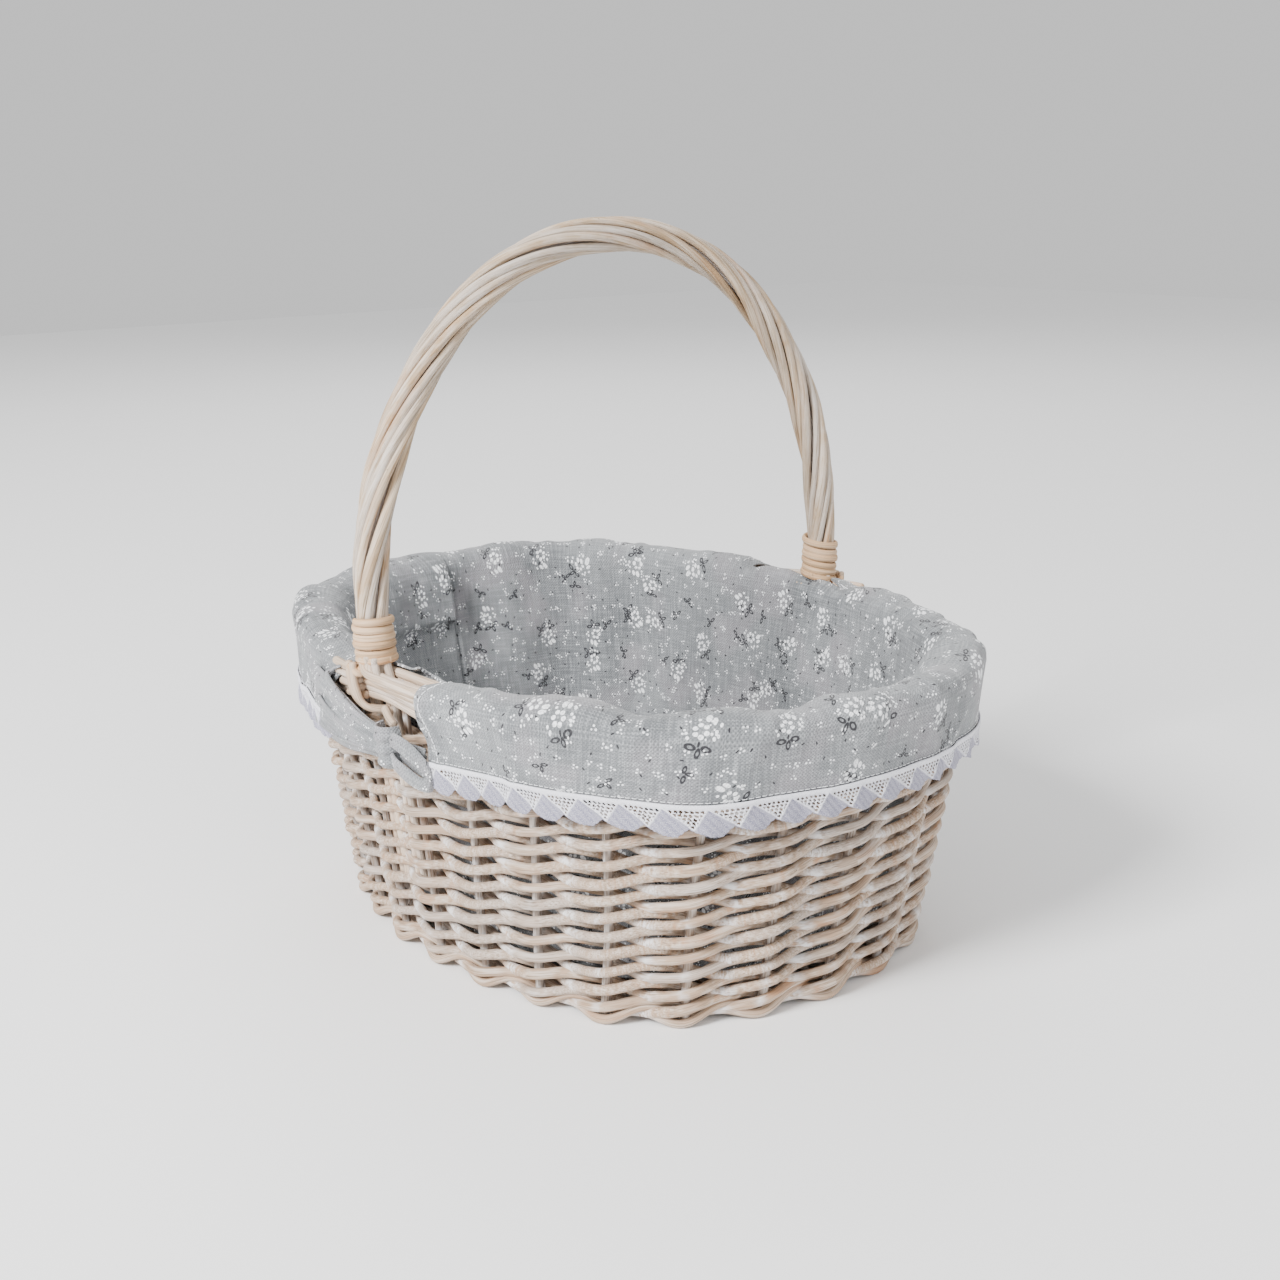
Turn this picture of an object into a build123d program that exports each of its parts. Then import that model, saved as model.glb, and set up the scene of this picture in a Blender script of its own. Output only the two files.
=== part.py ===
from build123d import *
import os
from math import atan, cos, degrees, hypot, radians, sin

# Lined willow basket with a fixed roped bow handle, in millimetres.
# +X runs along the basket, the handle arches across it in the YZ plane, +Z is up.
# The origin is the middle of the footprint, on the surface the basket stands on.

# ---- wall: an oval that flares evenly from the foot to the border ----
WALL_TOP = 150.0            # height at which the "top" oval below is measured
TOP_HALF_LENGTH = 190.5     # middle of the wall thickness, at WALL_TOP
TOP_HALF_WIDTH = 140.0
TOP_CORNER = 98.0           # plan radius between side and end, at WALL_TOP
FOOT_HALF_LENGTH = 159.5    # middle of the wall thickness, at the floor
FOOT_HALF_WIDTH = 122.5
FOOT_CORNER = 82.0
END_ANGLE = 20.0            # half the angle of the end arc, in degrees
SIDE_ANGLE = 65.0           # normal angle at which the side arc takes over

# ---- willow rods ----
STAKE_COUNT = 26
STAKE_DIAMETER = 5.0
WEAVER_DIAMETER = 4.6
WEAVER_OFFSET = 5.1         # weaver centre to stake centre, across the wall
ROW_COUNT = 13
FIRST_ROW = 8.8
ROW_PITCH = 9.4
BORDER_COUNT = 4
BORDER_DIAMETER = 5.0
FIRST_BORDER = 134.3
BORDER_PITCH = 5.05

# ---- base ----
FOOT_DIAMETER = 6.4
FOOT_CENTRE = 2.7           # under half the diameter: the rod is worn flat below
CROSS_STICK_DIAMETER = 7.0
CROSS_STICK_COUNT = 9
CROSS_STICK_PITCH = 30.0
LONG_STICK_DIAMETER = 3.8
LONG_STICK_COUNT = 5
LONG_STICK_PITCH = 6.0
STICK_CENTRE = 8.3
BASE_UNDER_CENTRE = 2.4
BASE_OVER_CENTRE = 14.2
BASE_ROW_COUNT = 9
BASE_ROW_PITCH = 9.4
BASE_OUTER_LENGTH = 149.0   # half-length of the outermost base row
BASE_OUTER_WIDTH = 112.0
BASE_CORNER_RATIO = 0.64    # plan corner radius over half-width
SLATH_ROD_COUNT = 6         # straight rods that fill the middle of the base
SLATH_LENGTH = 112.0

# ---- handle ----
HANDLE_WIDEST = 183.0       # height where the legs stand upright
HANDLE_HALF_SPAN = 142.5
HANDLE_APEX = 348.0         # centre line
CROWN_RADIUS = 130.0
HANDLE_FOOT = 153.2         # lower end of the roped part
CORE_DIAMETER = 8.4
STRAND_COUNT = 9
STRAND_DIAMETER = 4.2
STRAND_CIRCLE = 6.4
TAIL_PLACES = (-11.0, -6.0, 6.0, 11.0)
TAIL_BOTTOM = 40.0
TAIL_TOP = 152.6
BINDING_TURNS = 6
BINDING_PITCH = 3.9
BINDING_WIDTH = 3.8
BINDING_THICKNESS = 2.2
LOOP_DIAMETER = 3.3
LOOP_PLACES = (-1.75, 1.75)
LOOP_BOTTOM = 129.2
LOOP_TOP = 151.9
LOOP_CLEARANCE = 0.7
LOOP_CORNER = 4.0

# ---- cloth lining ----
CLOTH = 1.0
LINING_FLOOR = 16.7
LINING_INSET = -12.8        # lining's inner face, from the middle of the wall
FOLD_BOTTOM = 153.0         # underside of the cloth folded over the border
SKIRT_TOP_OFFSET = 9.6      # outer face of the skirt at the top
SKIRT_HEM_OFFSET = 11.6     # outer face at the hem, which stands a little clear
SKIRT_HEM = 119.0
SLIT_NARROW_SIDE = 26.0     # the skirt's edges stand this far from a handle leg on one side
SLIT_WIDE_SIDE = 38.0       # and this far on the other
LACE_TOP = 121.0
LACE_BOTTOM = 105.5
LACE_THICKNESS = 1.0
BOW_HEIGHT = 122.0          # knot centre
KNOT_SIZE = (9.0, 7.0, 13.0)
KNOT_PLACE = 25.0           # along X from the handle leg
BAND_WIDTH = 9.0            # the short band; the gathered one on the narrow side is wider
GATHERED_WIDTH = 20.0
BAND_THICKNESS = 2.4
BOW_LOOP_LENGTH = 24.0
BOW_LOOP_WIDTH = 8.5
BOW_LOOP_THICKNESS = 4.0
BOW_LOOP_GAP = 3.6          # clear of the knot, whose corners the tilted loops pass
BOW_LOOP_DROPS = (-4.0, 41.0)   # slope of the two lobes, which both hang on the wide side

PARTS = "parts"


def solve_radii(half_length, half_width, corner):
    """Side and end radii of the three-arc quarter oval with the given corner radius."""
    side_x, side_y = cos(radians(SIDE_ANGLE)), 1 - sin(radians(SIDE_ANGLE))
    end_x, end_y = 1 - cos(radians(END_ANGLE)), sin(radians(END_ANGLE))
    rest_x = half_length - corner * (1 - side_x - end_x)
    rest_y = half_width - corner * (1 - side_y - end_y)
    determinant = side_x * end_y - side_y * end_x
    side = (rest_x * end_y - rest_y * end_x) / determinant
    end = (side_x * rest_y - side_y * rest_x) / determinant
    return side, end


def oval_point(shape, angle):
    """Plan point of the oval whose outward normal makes this angle with +X, in degrees."""
    half_length, half_width, corner = shape
    side, end = solve_radii(*shape)
    c, s = cos(radians(angle)), sin(radians(angle))
    turn = degrees(atan(abs(s) / abs(c))) if abs(c) > 1e-9 else 90.0
    if turn <= END_ANGLE:
        centre_x, centre_y, radius = half_length - end, 0.0, end
    elif turn <= SIDE_ANGLE:
        step = end - corner
        centre_x = half_length - end + step * cos(radians(END_ANGLE))
        centre_y = step * sin(radians(END_ANGLE))
        radius = corner
    else:
        centre_x, centre_y, radius = 0.0, half_width - side, side
    x = centre_x + radius * abs(c)
    y = centre_y + radius * abs(s)
    return (x if c >= 0 else -x), (y if s >= 0 else -y)


def wall_shape(z, offset=0.0):
    """Oval of the wall's middle at height z, moved outward by offset."""
    share = z / WALL_TOP
    half_length = FOOT_HALF_LENGTH + (TOP_HALF_LENGTH - FOOT_HALF_LENGTH) * share
    half_width = FOOT_HALF_WIDTH + (TOP_HALF_WIDTH - FOOT_HALF_WIDTH) * share
    corner = FOOT_CORNER + (TOP_CORNER - FOOT_CORNER) * share
    return half_length + offset, half_width + offset, corner + offset


def wall_lean():
    """Outward lean of the long sides, in radians."""
    return atan((TOP_HALF_WIDTH - FOOT_HALF_WIDTH) / WALL_TOP)


def oval_wire(shape, z):
    """Closed wire of eight tangent arcs at height z."""
    e, s = END_ANGLE, SIDE_ANGLE
    breaks = [-e, e, s, 180 - s, 180 - e, 180 + e, 180 + s, 360 - s, 360 - e]
    edges = []
    for first, last in zip(breaks, breaks[1:]):
        points = [oval_point(shape, angle) for angle in (first, (first + last) / 2, last)]
        edges.append(ThreePointArc(*[(x, y, z) for x, y in points]))
    return Wire(edges)


def ring(shape, z, diameter):
    """Round rod bent into a closed oval."""
    path = oval_wire(shape, z)
    start = Plane(origin=path @ 0, z_dir=path % 0)
    return sweep(start * Circle(diameter / 2), path=path)


def rod(start, finish, diameter):
    """Straight round rod between two points."""
    run = Vector(*finish) - Vector(*start)
    plane = Plane(origin=start, z_dir=run)
    return Solid.make_cylinder(diameter / 2, run.length, plane)


def shell(low, high, low_offset, high_offset, thickness):
    """Flared oval sheet standing between two heights; the offsets are its outer face's."""
    def body(inset):
        faces = []
        for z, offset in ((low, low_offset), (high, high_offset)):
            faces.append(Face(oval_wire(wall_shape(z, offset - inset), z)))
        return Solid.make_loft([face.outer_wire() for face in faces], ruled=True)
    return body(0.0) - body(thickness)


def stake_angles():
    """Normal angles of the stakes, evenly spaced along the wall at half height."""
    shape = wall_shape(WALL_TOP / 2)
    side, end = solve_radii(*shape)
    arcs = [(END_ANGLE, end), (SIDE_ANGLE - END_ANGLE, shape[2]), (90 - SIDE_ANGLE, side)]
    quarter = sum(radians(turn) * radius for turn, radius in arcs)
    step = 4 * quarter / STAKE_COUNT
    angles = []
    for index in range(STAKE_COUNT):
        # start half a step from the middle of a long side, so each handle leg has a gap
        place = (quarter + (index + 0.5) * step) % (4 * quarter)
        quadrant, along = divmod(place, quarter)
        if quadrant % 2:
            along = quarter - along
        angle = 0.0
        for turn, radius in arcs:
            length = radians(turn) * radius
            if along <= length:
                angle += degrees(along / radius)
                break
            along -= length
            angle += turn
        angles.append([angle, 180 - angle, 180 + angle, 360 - angle][int(quadrant)])
    return angles


# ---- base ----
def base_sticks():
    """Five long sticks threaded through nine pierced cross sticks."""
    edge = Face(oval_wire(wall_shape(STICK_CENTRE, -8.0), 0.0))
    room = extrude(edge, 20.0)
    first_x = -CROSS_STICK_PITCH * (CROSS_STICK_COUNT - 1) / 2
    first_y = -LONG_STICK_PITCH * (LONG_STICK_COUNT - 1) / 2
    threads, sticks = [], []
    for index in range(LONG_STICK_COUNT):
        y = first_y + LONG_STICK_PITCH * index
        ends = (-200, y, STICK_CENTRE), (200, y, STICK_CENTRE)
        threads.append(rod(*ends, LONG_STICK_DIAMETER + 0.3))
        sticks.append(rod(*ends, LONG_STICK_DIAMETER) & room)
    crosses = []
    for index in range(CROSS_STICK_COUNT):
        x = first_x + CROSS_STICK_PITCH * index
        cross = rod((x, -200, STICK_CENTRE), (x, 200, STICK_CENTRE), CROSS_STICK_DIAMETER) & room
        for thread in threads:
            cross -= thread
        crosses.append(cross)
    return sticks, crosses


def slath_end(y):
    """How far a straight rod reaches before it would meet the innermost base row."""
    turns = BASE_ROW_COUNT - 1
    half_length = BASE_OUTER_LENGTH - BASE_ROW_PITCH * turns
    half_width = BASE_OUTER_WIDTH - BASE_ROW_PITCH * turns
    room = WEAVER_DIAMETER + 0.6
    corner = BASE_CORNER_RATIO * half_width
    shape = (half_length - room, half_width - room, corner - room)
    edge = [oval_point(shape, angle) for angle in range(90)]
    reach = [x for x, edge_y in edge if edge_y >= abs(y)]
    return min(SLATH_LENGTH / 2, max(reach))


def base_rows(z):
    """Rods of the base weave that lie on one side of the sticks."""
    rows = []
    for index in range(BASE_ROW_COUNT):
        half_length = BASE_OUTER_LENGTH - BASE_ROW_PITCH * index
        half_width = BASE_OUTER_WIDTH - BASE_ROW_PITCH * index
        corner = BASE_CORNER_RATIO * half_width
        rows.append(ring((half_length, half_width, corner), z, WEAVER_DIAMETER))
    for index in range(SLATH_ROD_COUNT):
        y = BASE_ROW_PITCH * (index - (SLATH_ROD_COUNT - 1) / 2)
        end = slath_end(y)
        rows.append(rod((-end, y, z), (end, y, z), WEAVER_DIAMETER))
    return rows


def foot_wale():
    """Bottom rod of the wall, worn flat where it stands."""
    whole = ring(wall_shape(FOOT_CENTRE), FOOT_CENTRE, FOOT_DIAMETER)
    above = Pos(0, 0, 50) * Box(600, 600, 100)
    return whole & above


# ---- wall ----
def stakes():
    low, high = FOOT_CENTRE + FOOT_DIAMETER / 2 + 0.4, FIRST_BORDER + BORDER_PITCH * 3
    rods = []
    for angle in stake_angles():
        ends = [(*oval_point(wall_shape(z), angle), z) for z in (low, high)]
        rods.append(rod(*ends, STAKE_DIAMETER))
    return rods


def row_pair(z, diameter):
    """The two rods of a row: one along the outside of the stakes, one along the inside."""
    return [ring(wall_shape(z, side * WEAVER_OFFSET), z, diameter) for side in (1, -1)]


# ---- handle ----
def handle_path(offset_y, offset_x, foot):
    """Handle line moved outward in its own plane by offset_y and sideways by offset_x."""
    lean = wall_lean()
    drop = HANDLE_APEX - HANDLE_WIDEST - CROWN_RADIUS
    span, crown = HANDLE_HALF_SPAN, CROWN_RADIUS
    leg = (drop ** 2 + span ** 2 - crown ** 2) / (2 * (span - crown))
    crown_turn = atan((leg - span) / drop)
    lower = (HANDLE_WIDEST - WALL_TOP) / sin(lean)

    def at(centre_y, centre_z, radius, turn):
        """Point of an arc; turn is measured from +Y towards +Z."""
        return centre_y + radius * cos(turn), centre_z + radius * sin(turn)

    foot_turn = (foot - HANDLE_WIDEST) / lower
    grow = offset_y
    top = HANDLE_WIDEST + drop
    half = [
        at(span - lower, HANDLE_WIDEST, lower + grow, foot_turn),
        at(span - lower, HANDLE_WIDEST, lower + grow, foot_turn / 2),
        (span + grow, HANDLE_WIDEST),
        at(span - leg, HANDLE_WIDEST, leg + grow, (radians(90) - crown_turn) / 2),
        at(0, top, crown + grow, radians(90) - crown_turn),
        at(0, top, crown + grow, radians(90) - crown_turn / 2),
        (0, top + crown + grow),
    ]
    whole = half + [(-y, z) for y, z in reversed(half[:-1])]
    points = [(offset_x, y, z) for y, z in whole]
    arcs = [ThreePointArc(*points[i:i + 3]) for i in range(0, len(points) - 2, 2)]
    return Wire(arcs)


def handle_rod(offset_y, offset_x, diameter, foot=HANDLE_FOOT):
    path = handle_path(offset_y, offset_x, foot)
    start = Plane(origin=path @ 0, z_dir=path % 0)
    return sweep(start * Circle(diameter / 2), path=path)


def leg_frame(height):
    """Plane across the right handle leg (the one at +Y) at this height."""
    lean = wall_lean()
    lower = (HANDLE_WIDEST - WALL_TOP) / sin(lean)
    turn = (height - HANDLE_WIDEST) / lower
    y = HANDLE_HALF_SPAN - lower + lower * cos(turn)
    return Plane(origin=(0, y, height), z_dir=(0, -sin(turn), cos(turn)))


def binding():
    """Turns of cane lashed round the foot of one leg."""
    turns = []
    radius = STRAND_CIRCLE + STRAND_DIAMETER / 2 + 0.1 + BINDING_THICKNESS / 2
    for index in range(BINDING_TURNS):
        plane = leg_frame(HANDLE_FOOT + BINDING_WIDTH / 2 + 0.4 + BINDING_PITCH * index)
        section = plane * Pos(radius, 0, 0) * Rot(90, 0, 0) * Ellipse(
            BINDING_THICKNESS / 2, BINDING_WIDTH / 2)
        turns.append(revolve(section, Axis(plane.origin, plane.z_dir)))
    return turns


def tails():
    """Handle rod ends pushed down inside the wall, between its outer and inner rods."""
    rods = []
    for x in TAIL_PLACES:
        ends = [(x, wall_shape(z)[1], z) for z in (TAIL_BOTTOM, TAIL_TOP)]
        rods.append(rod(*ends, WEAVER_DIAMETER))
    return rods


def binding_loops():
    """Two rods that hook under the border and tie the handle down."""
    reach = WEAVER_OFFSET + (BORDER_DIAMETER + LOOP_DIAMETER) / 2 + LOOP_CLEARANCE
    high, low = wall_shape(LOOP_TOP)[1], wall_shape(LOOP_BOTTOM)[1]
    hooks = []
    for x in LOOP_PLACES:
        corners = [(x, high + reach, LOOP_TOP), (x, low + reach, LOOP_BOTTOM),
                   (x, low - reach, LOOP_BOTTOM), (x, high - reach, LOOP_TOP)]
        path = FilletPolyline(*corners, radius=LOOP_CORNER)
        start = Plane(origin=path @ 0, z_dir=path % 0)
        hooks.append(sweep(start * Circle(LOOP_DIAMETER / 2), path=path))
    return hooks


# ---- cloth ----
def lining_halves():
    """Side wall of the lining, seamed at both ends of the basket."""
    whole = shell(LINING_FLOOR + CLOTH + 0.1, FOLD_BOTTOM - 0.2,
                  LINING_INSET + CLOTH, LINING_INSET + CLOTH, CLOTH)
    halves = []
    for side in (-1, 1):
        halves.append(whole & Pos(0, side * 150.05, 90) * Box(500, 300, 200))
    return halves


def lining_floor():
    shape = wall_shape(LINING_FLOOR, LINING_INSET + 0.3)
    return extrude(Face(oval_wire(shape, LINING_FLOOR)), CLOTH)


def half_room(side):
    """Space of one cloth half: everything past the slits at the handle legs."""
    room = []
    for end in (-1, 1):
        start = SLIT_NARROW_SIDE if side == end else SLIT_WIDE_SIDE
        room.append(Pos(side * (start + 150), end * 100, 120) * Box(300, 200, 100))
    return room[0] + room[1]


def skirt(side):
    """Cloth folded over the border and hanging outside it, one half of the basket."""
    fold_outer = Face(oval_wire(wall_shape(WALL_TOP, SKIRT_TOP_OFFSET), FOLD_BOTTOM))
    fold_inner = Face(oval_wire(wall_shape(WALL_TOP, LINING_INSET), FOLD_BOTTOM))
    fold = extrude(fold_outer, CLOTH) - extrude(fold_inner, CLOTH)
    outer_share = (FOLD_BOTTOM + 0.01 - WALL_TOP) / WALL_TOP
    lean = (TOP_HALF_LENGTH - FOOT_HALF_LENGTH) * outer_share
    hanging = shell(SKIRT_HEM, FOLD_BOTTOM + 0.01, SKIRT_HEM_OFFSET,
                    SKIRT_TOP_OFFSET - lean, CLOTH)
    return (fold + hanging) & half_room(side)


def lace(side):
    """Lace sewn on the face of the hem."""
    lift = LACE_THICKNESS + 0.15
    grade = (SKIRT_TOP_OFFSET - SKIRT_HEM_OFFSET) / (FOLD_BOTTOM - SKIRT_HEM)
    top = SKIRT_HEM_OFFSET + grade * (LACE_TOP - SKIRT_HEM) + lift
    low = SKIRT_HEM_OFFSET + grade * (LACE_BOTTOM - SKIRT_HEM) + lift
    return shell(LACE_BOTTOM, LACE_TOP, low, top, LACE_THICKNESS) & half_room(side)


def bow():
    """Knot, hanging loops and the two bands it ties, at the leg on the +Y side."""
    out = wall_shape(BOW_HEIGHT)[1] + SKIRT_HEM_OFFSET + LACE_THICKNESS + 4.6
    x = -KNOT_PLACE
    knot = Pos(x, out, BOW_HEIGHT) * fillet(Box(*KNOT_SIZE).edges(), 2.5)
    loops, bands = [], []
    reach = KNOT_SIZE[0] / 2 + BOW_LOOP_GAP + BOW_LOOP_LENGTH / 2
    for drop in BOW_LOOP_DROPS:
        loop = extrude(SlotOverall(BOW_LOOP_LENGTH, BOW_LOOP_WIDTH), BOW_LOOP_THICKNESS / 2,
                       both=True)
        place = Pos(x, out, BOW_HEIGHT) * Rot(0, -drop, 0) * Pos(-reach, 0, 0)
        loops.append(place * Rot(90, 0, 0) * loop)
    # the wide gathered band stands clear of the cane hooks that it passes
    for side, edge, width, back in ((-1, SLIT_WIDE_SIDE, BAND_WIDTH, 3.4),
                                    (1, SLIT_NARROW_SIDE, GATHERED_WIDTH, 2.6)):
        start = x + side * (KNOT_SIZE[0] / 2 + 0.3)
        finish = side * (edge - 0.4)
        band = Box(abs(finish - start), BAND_THICKNESS, width)
        bands.append(Pos((start + finish) / 2, out - back, BOW_HEIGHT + 2) * band)
    return knot, loops, bands


def turn_round(pieces):
    """The same pieces at the other handle leg."""
    return [Rot(0, 0, 180) * piece for piece in pieces]


def write(name, pieces):
    """Export one node; a node of several pieces keeps them as separate solids."""
    body = pieces[0] if len(pieces) == 1 else Compound(children=list(pieces))
    body.label = name
    export_step(body, os.path.join(PARTS, name + ".step"))


def build():
    os.makedirs(PARTS, exist_ok=True)
    long_sticks, cross_sticks = base_sticks()
    write("base_long_sticks", long_sticks)
    write("base_cross_sticks", cross_sticks)
    write("base_weave_under", base_rows(BASE_UNDER_CENTRE))
    write("base_weave_over", base_rows(BASE_OVER_CENTRE))
    write("foot_wale", [foot_wale()])
    write("side_stakes", stakes())
    for index in range(ROW_COUNT):
        z = FIRST_ROW + ROW_PITCH * index
        write(f"weave_row_{index + 1:02d}", row_pair(z, WEAVER_DIAMETER))
    for index in range(BORDER_COUNT):
        z = FIRST_BORDER + BORDER_PITCH * index
        write(f"border_rods_{index + 1}", row_pair(z, BORDER_DIAMETER))
    write("handle_core", [handle_rod(0, 0, CORE_DIAMETER)])
    for index in range(STRAND_COUNT):
        turn = radians(360 * index / STRAND_COUNT)
        place = STRAND_CIRCLE * cos(turn), STRAND_CIRCLE * sin(turn)
        write(f"handle_strand_{index + 1}", [handle_rod(*place, STRAND_DIAMETER)])
    knot, loops, bands = bow()
    for name, pieces in (("handle_binding", binding()), ("handle_tails", tails()),
                         ("binding_loops", binding_loops()), ("bow_knot", [knot]),
                         ("bow_loops", loops), ("bow_bands", bands)):
        write(name + "_back", pieces)
        write(name + "_front", turn_round(pieces))
    front, back = lining_halves()
    write("lining_side_front", [front])
    write("lining_side_back", [back])
    write("lining_floor", [lining_floor()])
    for name, side in (("left", -1), ("right", 1)):
        write("lining_skirt_" + name, [skirt(side)])
        write("lace_" + name, [lace(side)])


build()
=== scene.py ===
import math
import random

import bpy
import numpy as np
from mathutils import Matrix, Vector


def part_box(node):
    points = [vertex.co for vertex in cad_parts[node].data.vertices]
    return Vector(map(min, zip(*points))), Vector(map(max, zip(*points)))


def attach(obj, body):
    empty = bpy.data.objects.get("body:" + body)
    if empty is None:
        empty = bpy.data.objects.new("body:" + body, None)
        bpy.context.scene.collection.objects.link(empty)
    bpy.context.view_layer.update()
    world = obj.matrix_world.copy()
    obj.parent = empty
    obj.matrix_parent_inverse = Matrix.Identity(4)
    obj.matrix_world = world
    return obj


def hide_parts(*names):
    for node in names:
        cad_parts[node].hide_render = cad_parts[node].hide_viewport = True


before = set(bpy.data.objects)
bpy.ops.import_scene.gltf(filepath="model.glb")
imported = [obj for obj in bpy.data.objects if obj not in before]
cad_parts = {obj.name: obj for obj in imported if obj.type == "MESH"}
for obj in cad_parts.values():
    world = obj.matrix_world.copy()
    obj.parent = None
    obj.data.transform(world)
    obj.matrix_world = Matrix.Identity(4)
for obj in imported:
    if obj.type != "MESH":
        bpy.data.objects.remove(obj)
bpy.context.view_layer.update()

MM = 0.001
TURN = 2 * math.pi

# ---- driving dimensions, in millimetres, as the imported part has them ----
END_ANGLE = math.radians(20)        # where the plan oval's arcs meet
SIDE_ANGLE = math.radians(65)
FOOT_CORNER = 82.0                  # plan corner radius at the floor
TOP_CORNER = 98.0                   # and at WALL_TOP
WALL_TOP = 150.0
WEAVER_OFFSET = 5.1                 # rod centre to stake centre, across the wall
STAKES = 26
ROWS = 13
BORDER_RODS = 4
HANDLE_WIDEST = 183.0
HANDLE_HALF_SPAN = 142.5
HANDLE_APEX = 348.0
CROWN_RADIUS = 130.0
STRANDS = 9
STRAND_CIRCLE = 6.5
STRAND_RADIUS = 2.2
ROPE_LAY = 225.0                    # handle length for one turn of the strands
ROW_PITCH = 9.4                     # from one row of weaving to the next
WEAVER_RADII = (2.25, 2.55)
WEAVER_LIFT = 3.5                   # a weaver rises and falls by this between stakes
STAKE_RADII = (2.25, 1.85)          # at the floor and at the border
BORDER_RADIUS = 2.5
BORDER_PULL = (5.5, 3.4, 1.5, 0.0)  # rise of each border rod beside a leg, lowest first
FOOT_RADIUS = 2.15
BASE_RADIUS = 2.2
BASE_PAIR = 2.3                     # half the distance between the two rods of a base pair
BASE_LOWEST = 2.25                  # lowest centre of a base rod
BINDING_TURNS, BINDING_PITCH = 6.0, 3.8
BINDING_START = 3.2                 # along the handle, from its foot
BINDING_CIRCLE = 8.9
CANE_RADIUS, CANE_FLAT = 1.95, 0.62
HOOK_RADIUS, HOOK_GAP = 1.75, 3.5
CLOTH_THICK, LOOP_THICK, LACE_THICK = 0.9, 1.0, 0.5
FRONT_LEG, BACK_LEG = 0.75, 0.25    # where the handle's legs stand, in turns from +X


def box_mm(node):
    """Lowest and highest corner of a CAD node, in millimetres."""
    low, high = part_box(node)
    return np.array(low) / MM, np.array(high) / MM


def middle_z(node):
    low, high = box_mm(node)
    return (low[2] + high[2]) / 2


# ---- the wall's plan oval ----
def wall_line():
    """Half-length and half-width of the wall's middle, each as (at the floor, rise per mm)."""
    measured = []
    for node in ("weave_row_01", f"weave_row_{ROWS:02d}"):
        low, high = box_mm(node)
        rod_radius = (high[2] - low[2]) / 2
        measured.append(((low[2] + high[2]) / 2, high[:2] - WEAVER_OFFSET - rod_radius))
    (low_z, low_half), (high_z, high_half) = measured
    rise = (high_half - low_half) / (high_z - low_z)
    return low_half - rise * low_z, rise


FOOT_HALF, HALF_RISE = wall_line()


def wall_shape(z, offset=0.0):
    """Half-length, half-width and corner radius of the wall's oval; z and offset may be arrays."""
    z = np.asarray(z, float)
    corner = FOOT_CORNER + (TOP_CORNER - FOOT_CORNER) * z / WALL_TOP
    half_length = FOOT_HALF[0] + HALF_RISE[0] * z
    half_width = FOOT_HALF[1] + HALF_RISE[1] * z
    return half_length + offset, half_width + offset, corner + offset


def solve_radii(half_length, half_width, corner):
    side_x, side_y = math.cos(SIDE_ANGLE), 1 - math.sin(SIDE_ANGLE)
    end_x, end_y = 1 - math.cos(END_ANGLE), math.sin(END_ANGLE)
    rest_x = half_length - corner * (1 - side_x - end_x)
    rest_y = half_width - corner * (1 - side_y - end_y)
    determinant = side_x * end_y - side_y * end_x
    side = (rest_x * end_y - rest_y * end_x) / determinant
    end = (side_x * rest_y - side_y * rest_x) / determinant
    return side, end


def oval_point(shape, angle):
    """Plan points whose outward normals make these angles with +X."""
    half_length, half_width, corner = shape
    side, end = solve_radii(half_length, half_width, corner)
    c, s = np.abs(np.cos(angle)), np.abs(np.sin(angle))
    turn = np.arctan2(s, c)
    step = end - corner
    corner_x = half_length - end + step * math.cos(END_ANGLE)
    corner_y = step * math.sin(END_ANGLE)
    zones = [turn <= END_ANGLE, turn <= SIDE_ANGLE]
    x = np.select(zones, [half_length - end + end * c, corner_x + corner * c], side * c)
    y = np.select(zones, [end * s, corner_y + corner * s], half_width - side + side * s)
    return x * np.sign(np.cos(angle)), y * np.sign(np.sin(angle))


def station_table():
    """Normal angle against distance round the wall at half height, from +X, in turns."""
    angle = np.linspace(0, TURN, 4001)
    x, y = oval_point(wall_shape(WALL_TOP / 2), angle)
    length = np.concatenate([[0], np.cumsum(np.hypot(np.diff(x), np.diff(y)))])
    return length / length[-1], angle, length[-1]


STATION, STATION_ANGLE, WALL_LENGTH = station_table()


def wall_point(station, z, offset=0.0):
    """Points on the wall, in millimetres; station is in turns round the basket from +X."""
    station = np.asarray(station, float)
    whole = np.floor(station)
    angle = np.interp(station - whole, STATION, STATION_ANGLE)
    x, y = oval_point(wall_shape(z, offset), angle)
    return np.stack(np.broadcast_arrays(x, y, np.asarray(z, float)), -1)


def stations(count):
    """Evenly spaced stations, once round the basket."""
    return np.arange(count) / count


def stake_station(index):
    return BACK_LEG + (index + 0.5) / STAKES


def stake_phase(station, parity):
    """Phase of a rod that passes one stake in half a turn; parity sets its side of the first."""
    return math.pi * ((station - stake_station(0)) * STAKES + parity)


def beside_leg(sign):
    """Places by one leg: x along the wall from it, out from the wall's middle, and z up."""
    leg = FRONT_LEG if sign < 0 else BACK_LEG
    return lambda x, out, z: wall_point(leg + x / WALL_LENGTH, z, out)


# ---- smooth noise that repeats round the basket ----
class Ripple:
    """Sum of a few sine waves round the basket, from -1 to 1 or so, with seeded phases."""

    def __init__(self, seed, waves):
        rng = random.Random(seed)
        self.terms = [(n, rng.uniform(0, TURN), rng.uniform(0.6, 1.0)) for n in waves]

    def __call__(self, station):
        total = sum(w * np.sin(TURN * n * station + p) for n, p, w in self.terms)
        return total / math.sqrt(len(self.terms))


def smooth_step(x, low, high):
    t = np.clip((np.asarray(x, float) - low) / (high - low), 0, 1)
    return t * t * (3 - 2 * t)


def bell(x, width):
    """1 at x = 0, dying out over a few widths on both sides."""
    return np.exp(-(x / width) ** 2)


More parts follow.
